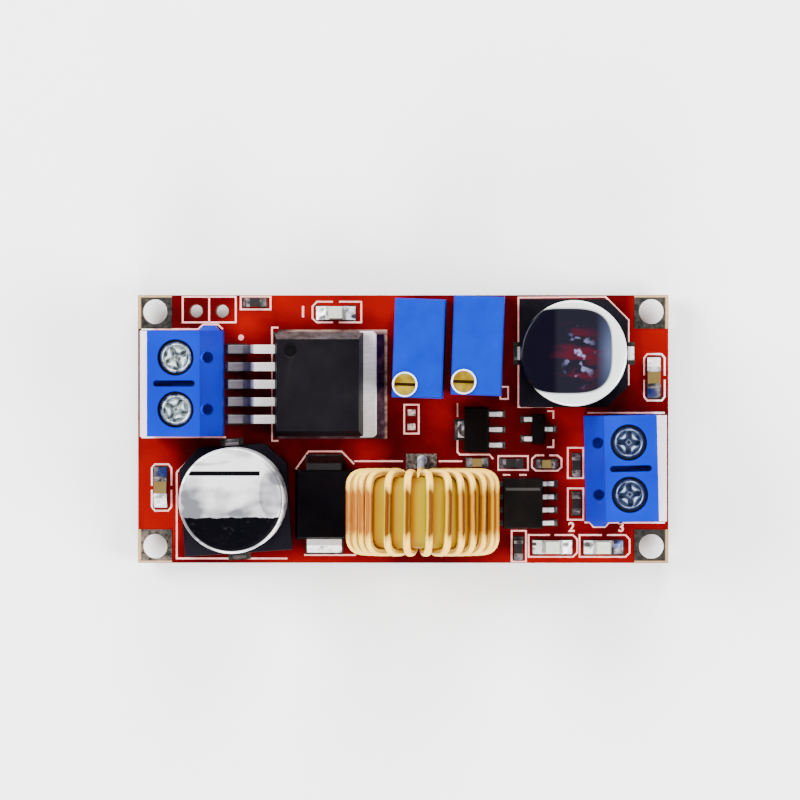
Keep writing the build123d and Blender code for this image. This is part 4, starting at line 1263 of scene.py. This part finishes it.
pinBar = {"outline": box(9.98, -5.95, 13.34, -5.68), "bottom": 3.20, "top": 3.232}
barMesh = plate(pinBar["outline"], pinBar["bottom"], pinBar["top"])
barGrey = makePlastic("barGrey", (0.022, 0.020, 0.018), (0.040, 0.036, 0.032), 0.5)
settle("amplifier_pin_bar", barMesh, barGrey)
inkMeshes = [inkStrip(box(*row), silk["width"], True) for row in frames]
inkMeshes += [inkStrip(points, silk["width"], False) for points in openLines]
inkMeshes += [plate(box(*strip), silk["bottom"], silk["top"]) for strip in filledStrips]
inkMeshes += [plate(circle(*dot), silk["bottom"], silk["top"])]
inkMeshes += [numberMesh(*mark) for mark in marks]
settle("printed_marks", joined("printedMarks", inkMeshes), silkInk)
print("printed marks:", len(inkMeshes))


# Camera, light and floor. The camera stands over the output side, as the leaning tops show.
camera = {
    "from": (16.6, 6.5, 796.6),
    "at": (-0.29, 2.82, boardTop),
    "wide": 800 / 10.3,
    "sensor": 36.0,
}
eye = bpy.data.cameras.new("camera")
eye.sensor_width = camera["sensor"]
gaze = Vector(camera["at"]) - Vector(camera["from"])
eye.lens = camera["sensor"] * gaze.length / camera["wide"]
eye.clip_start = 0.01
eye.clip_end = 10.0
seat = linked("camera", eye)
seat.location = Vector(camera["from"]) * mm
seat.rotation_mode = "QUATERNION"
ahead = gaze.normalized()
right = ahead.cross(Vector((0, 1, 0))).normalized()
seat.rotation_quaternion = Matrix((right, right.cross(ahead), -ahead)).transposed().to_quaternion()
bpy.context.scene.camera = seat

lamps = {
    "left": {"at": (-260, 120, 260), "size": 200, "power": 4.0},
    "right": {"at": (260, -90, 240), "size": 180, "power": 2.8},
    "front": {"at": (-40, -300, 220), "size": 180, "power": 2.4},
    "rear": {"at": (60, 300, 240), "size": 160, "power": 2.2},
}
for name, lamp in lamps.items():
    light = bpy.data.lights.new(name, "AREA")
    light.shape = "SQUARE"
    light.size = lamp["size"] * mm
    light.energy = lamp["power"]
    holder = linked(name, light)
    holder.location = Vector(lamp["at"]) * mm
    holder.rotation_mode = "QUATERNION"
    holder.rotation_quaternion = (-Vector(lamp["at"])).to_track_quat("-Z", "Y")

sky = bpy.data.worlds.new("studio")
sky.use_nodes = True
backdrop = sky.node_tree.nodes["Background"].inputs
backdrop[0].default_value = (0.93, 0.95, 1.0, 1.0)
backdrop[1].default_value = 0.25
bpy.context.scene.world = sky

floor = {"half": 900.0, "level": -1.62}
floorMesh = bpy.data.meshes.new("floor")
floorOutline = box(-floor["half"], -floor["half"], floor["half"], floor["half"])
floorCorners = [(x * mm, y * mm, floor["level"] * mm) for x, y in floorOutline]
floorMesh.from_pydata(floorCorners, [], [(0, 1, 2, 3)])
floorFinish = Finish("paleFloor")
floorGrain = floorFinish.noise(0.2, 2.0)
floorColour = floorFinish.mix(floorGrain, (0.90, 0.90, 0.90), (0.93, 0.93, 0.93))
floorMesh.materials.append(floorFinish.use(Base_Color=floorColour, Roughness=0.8 + floorGrain * 0.1))
linked("floor", floorMesh)
print("stage")
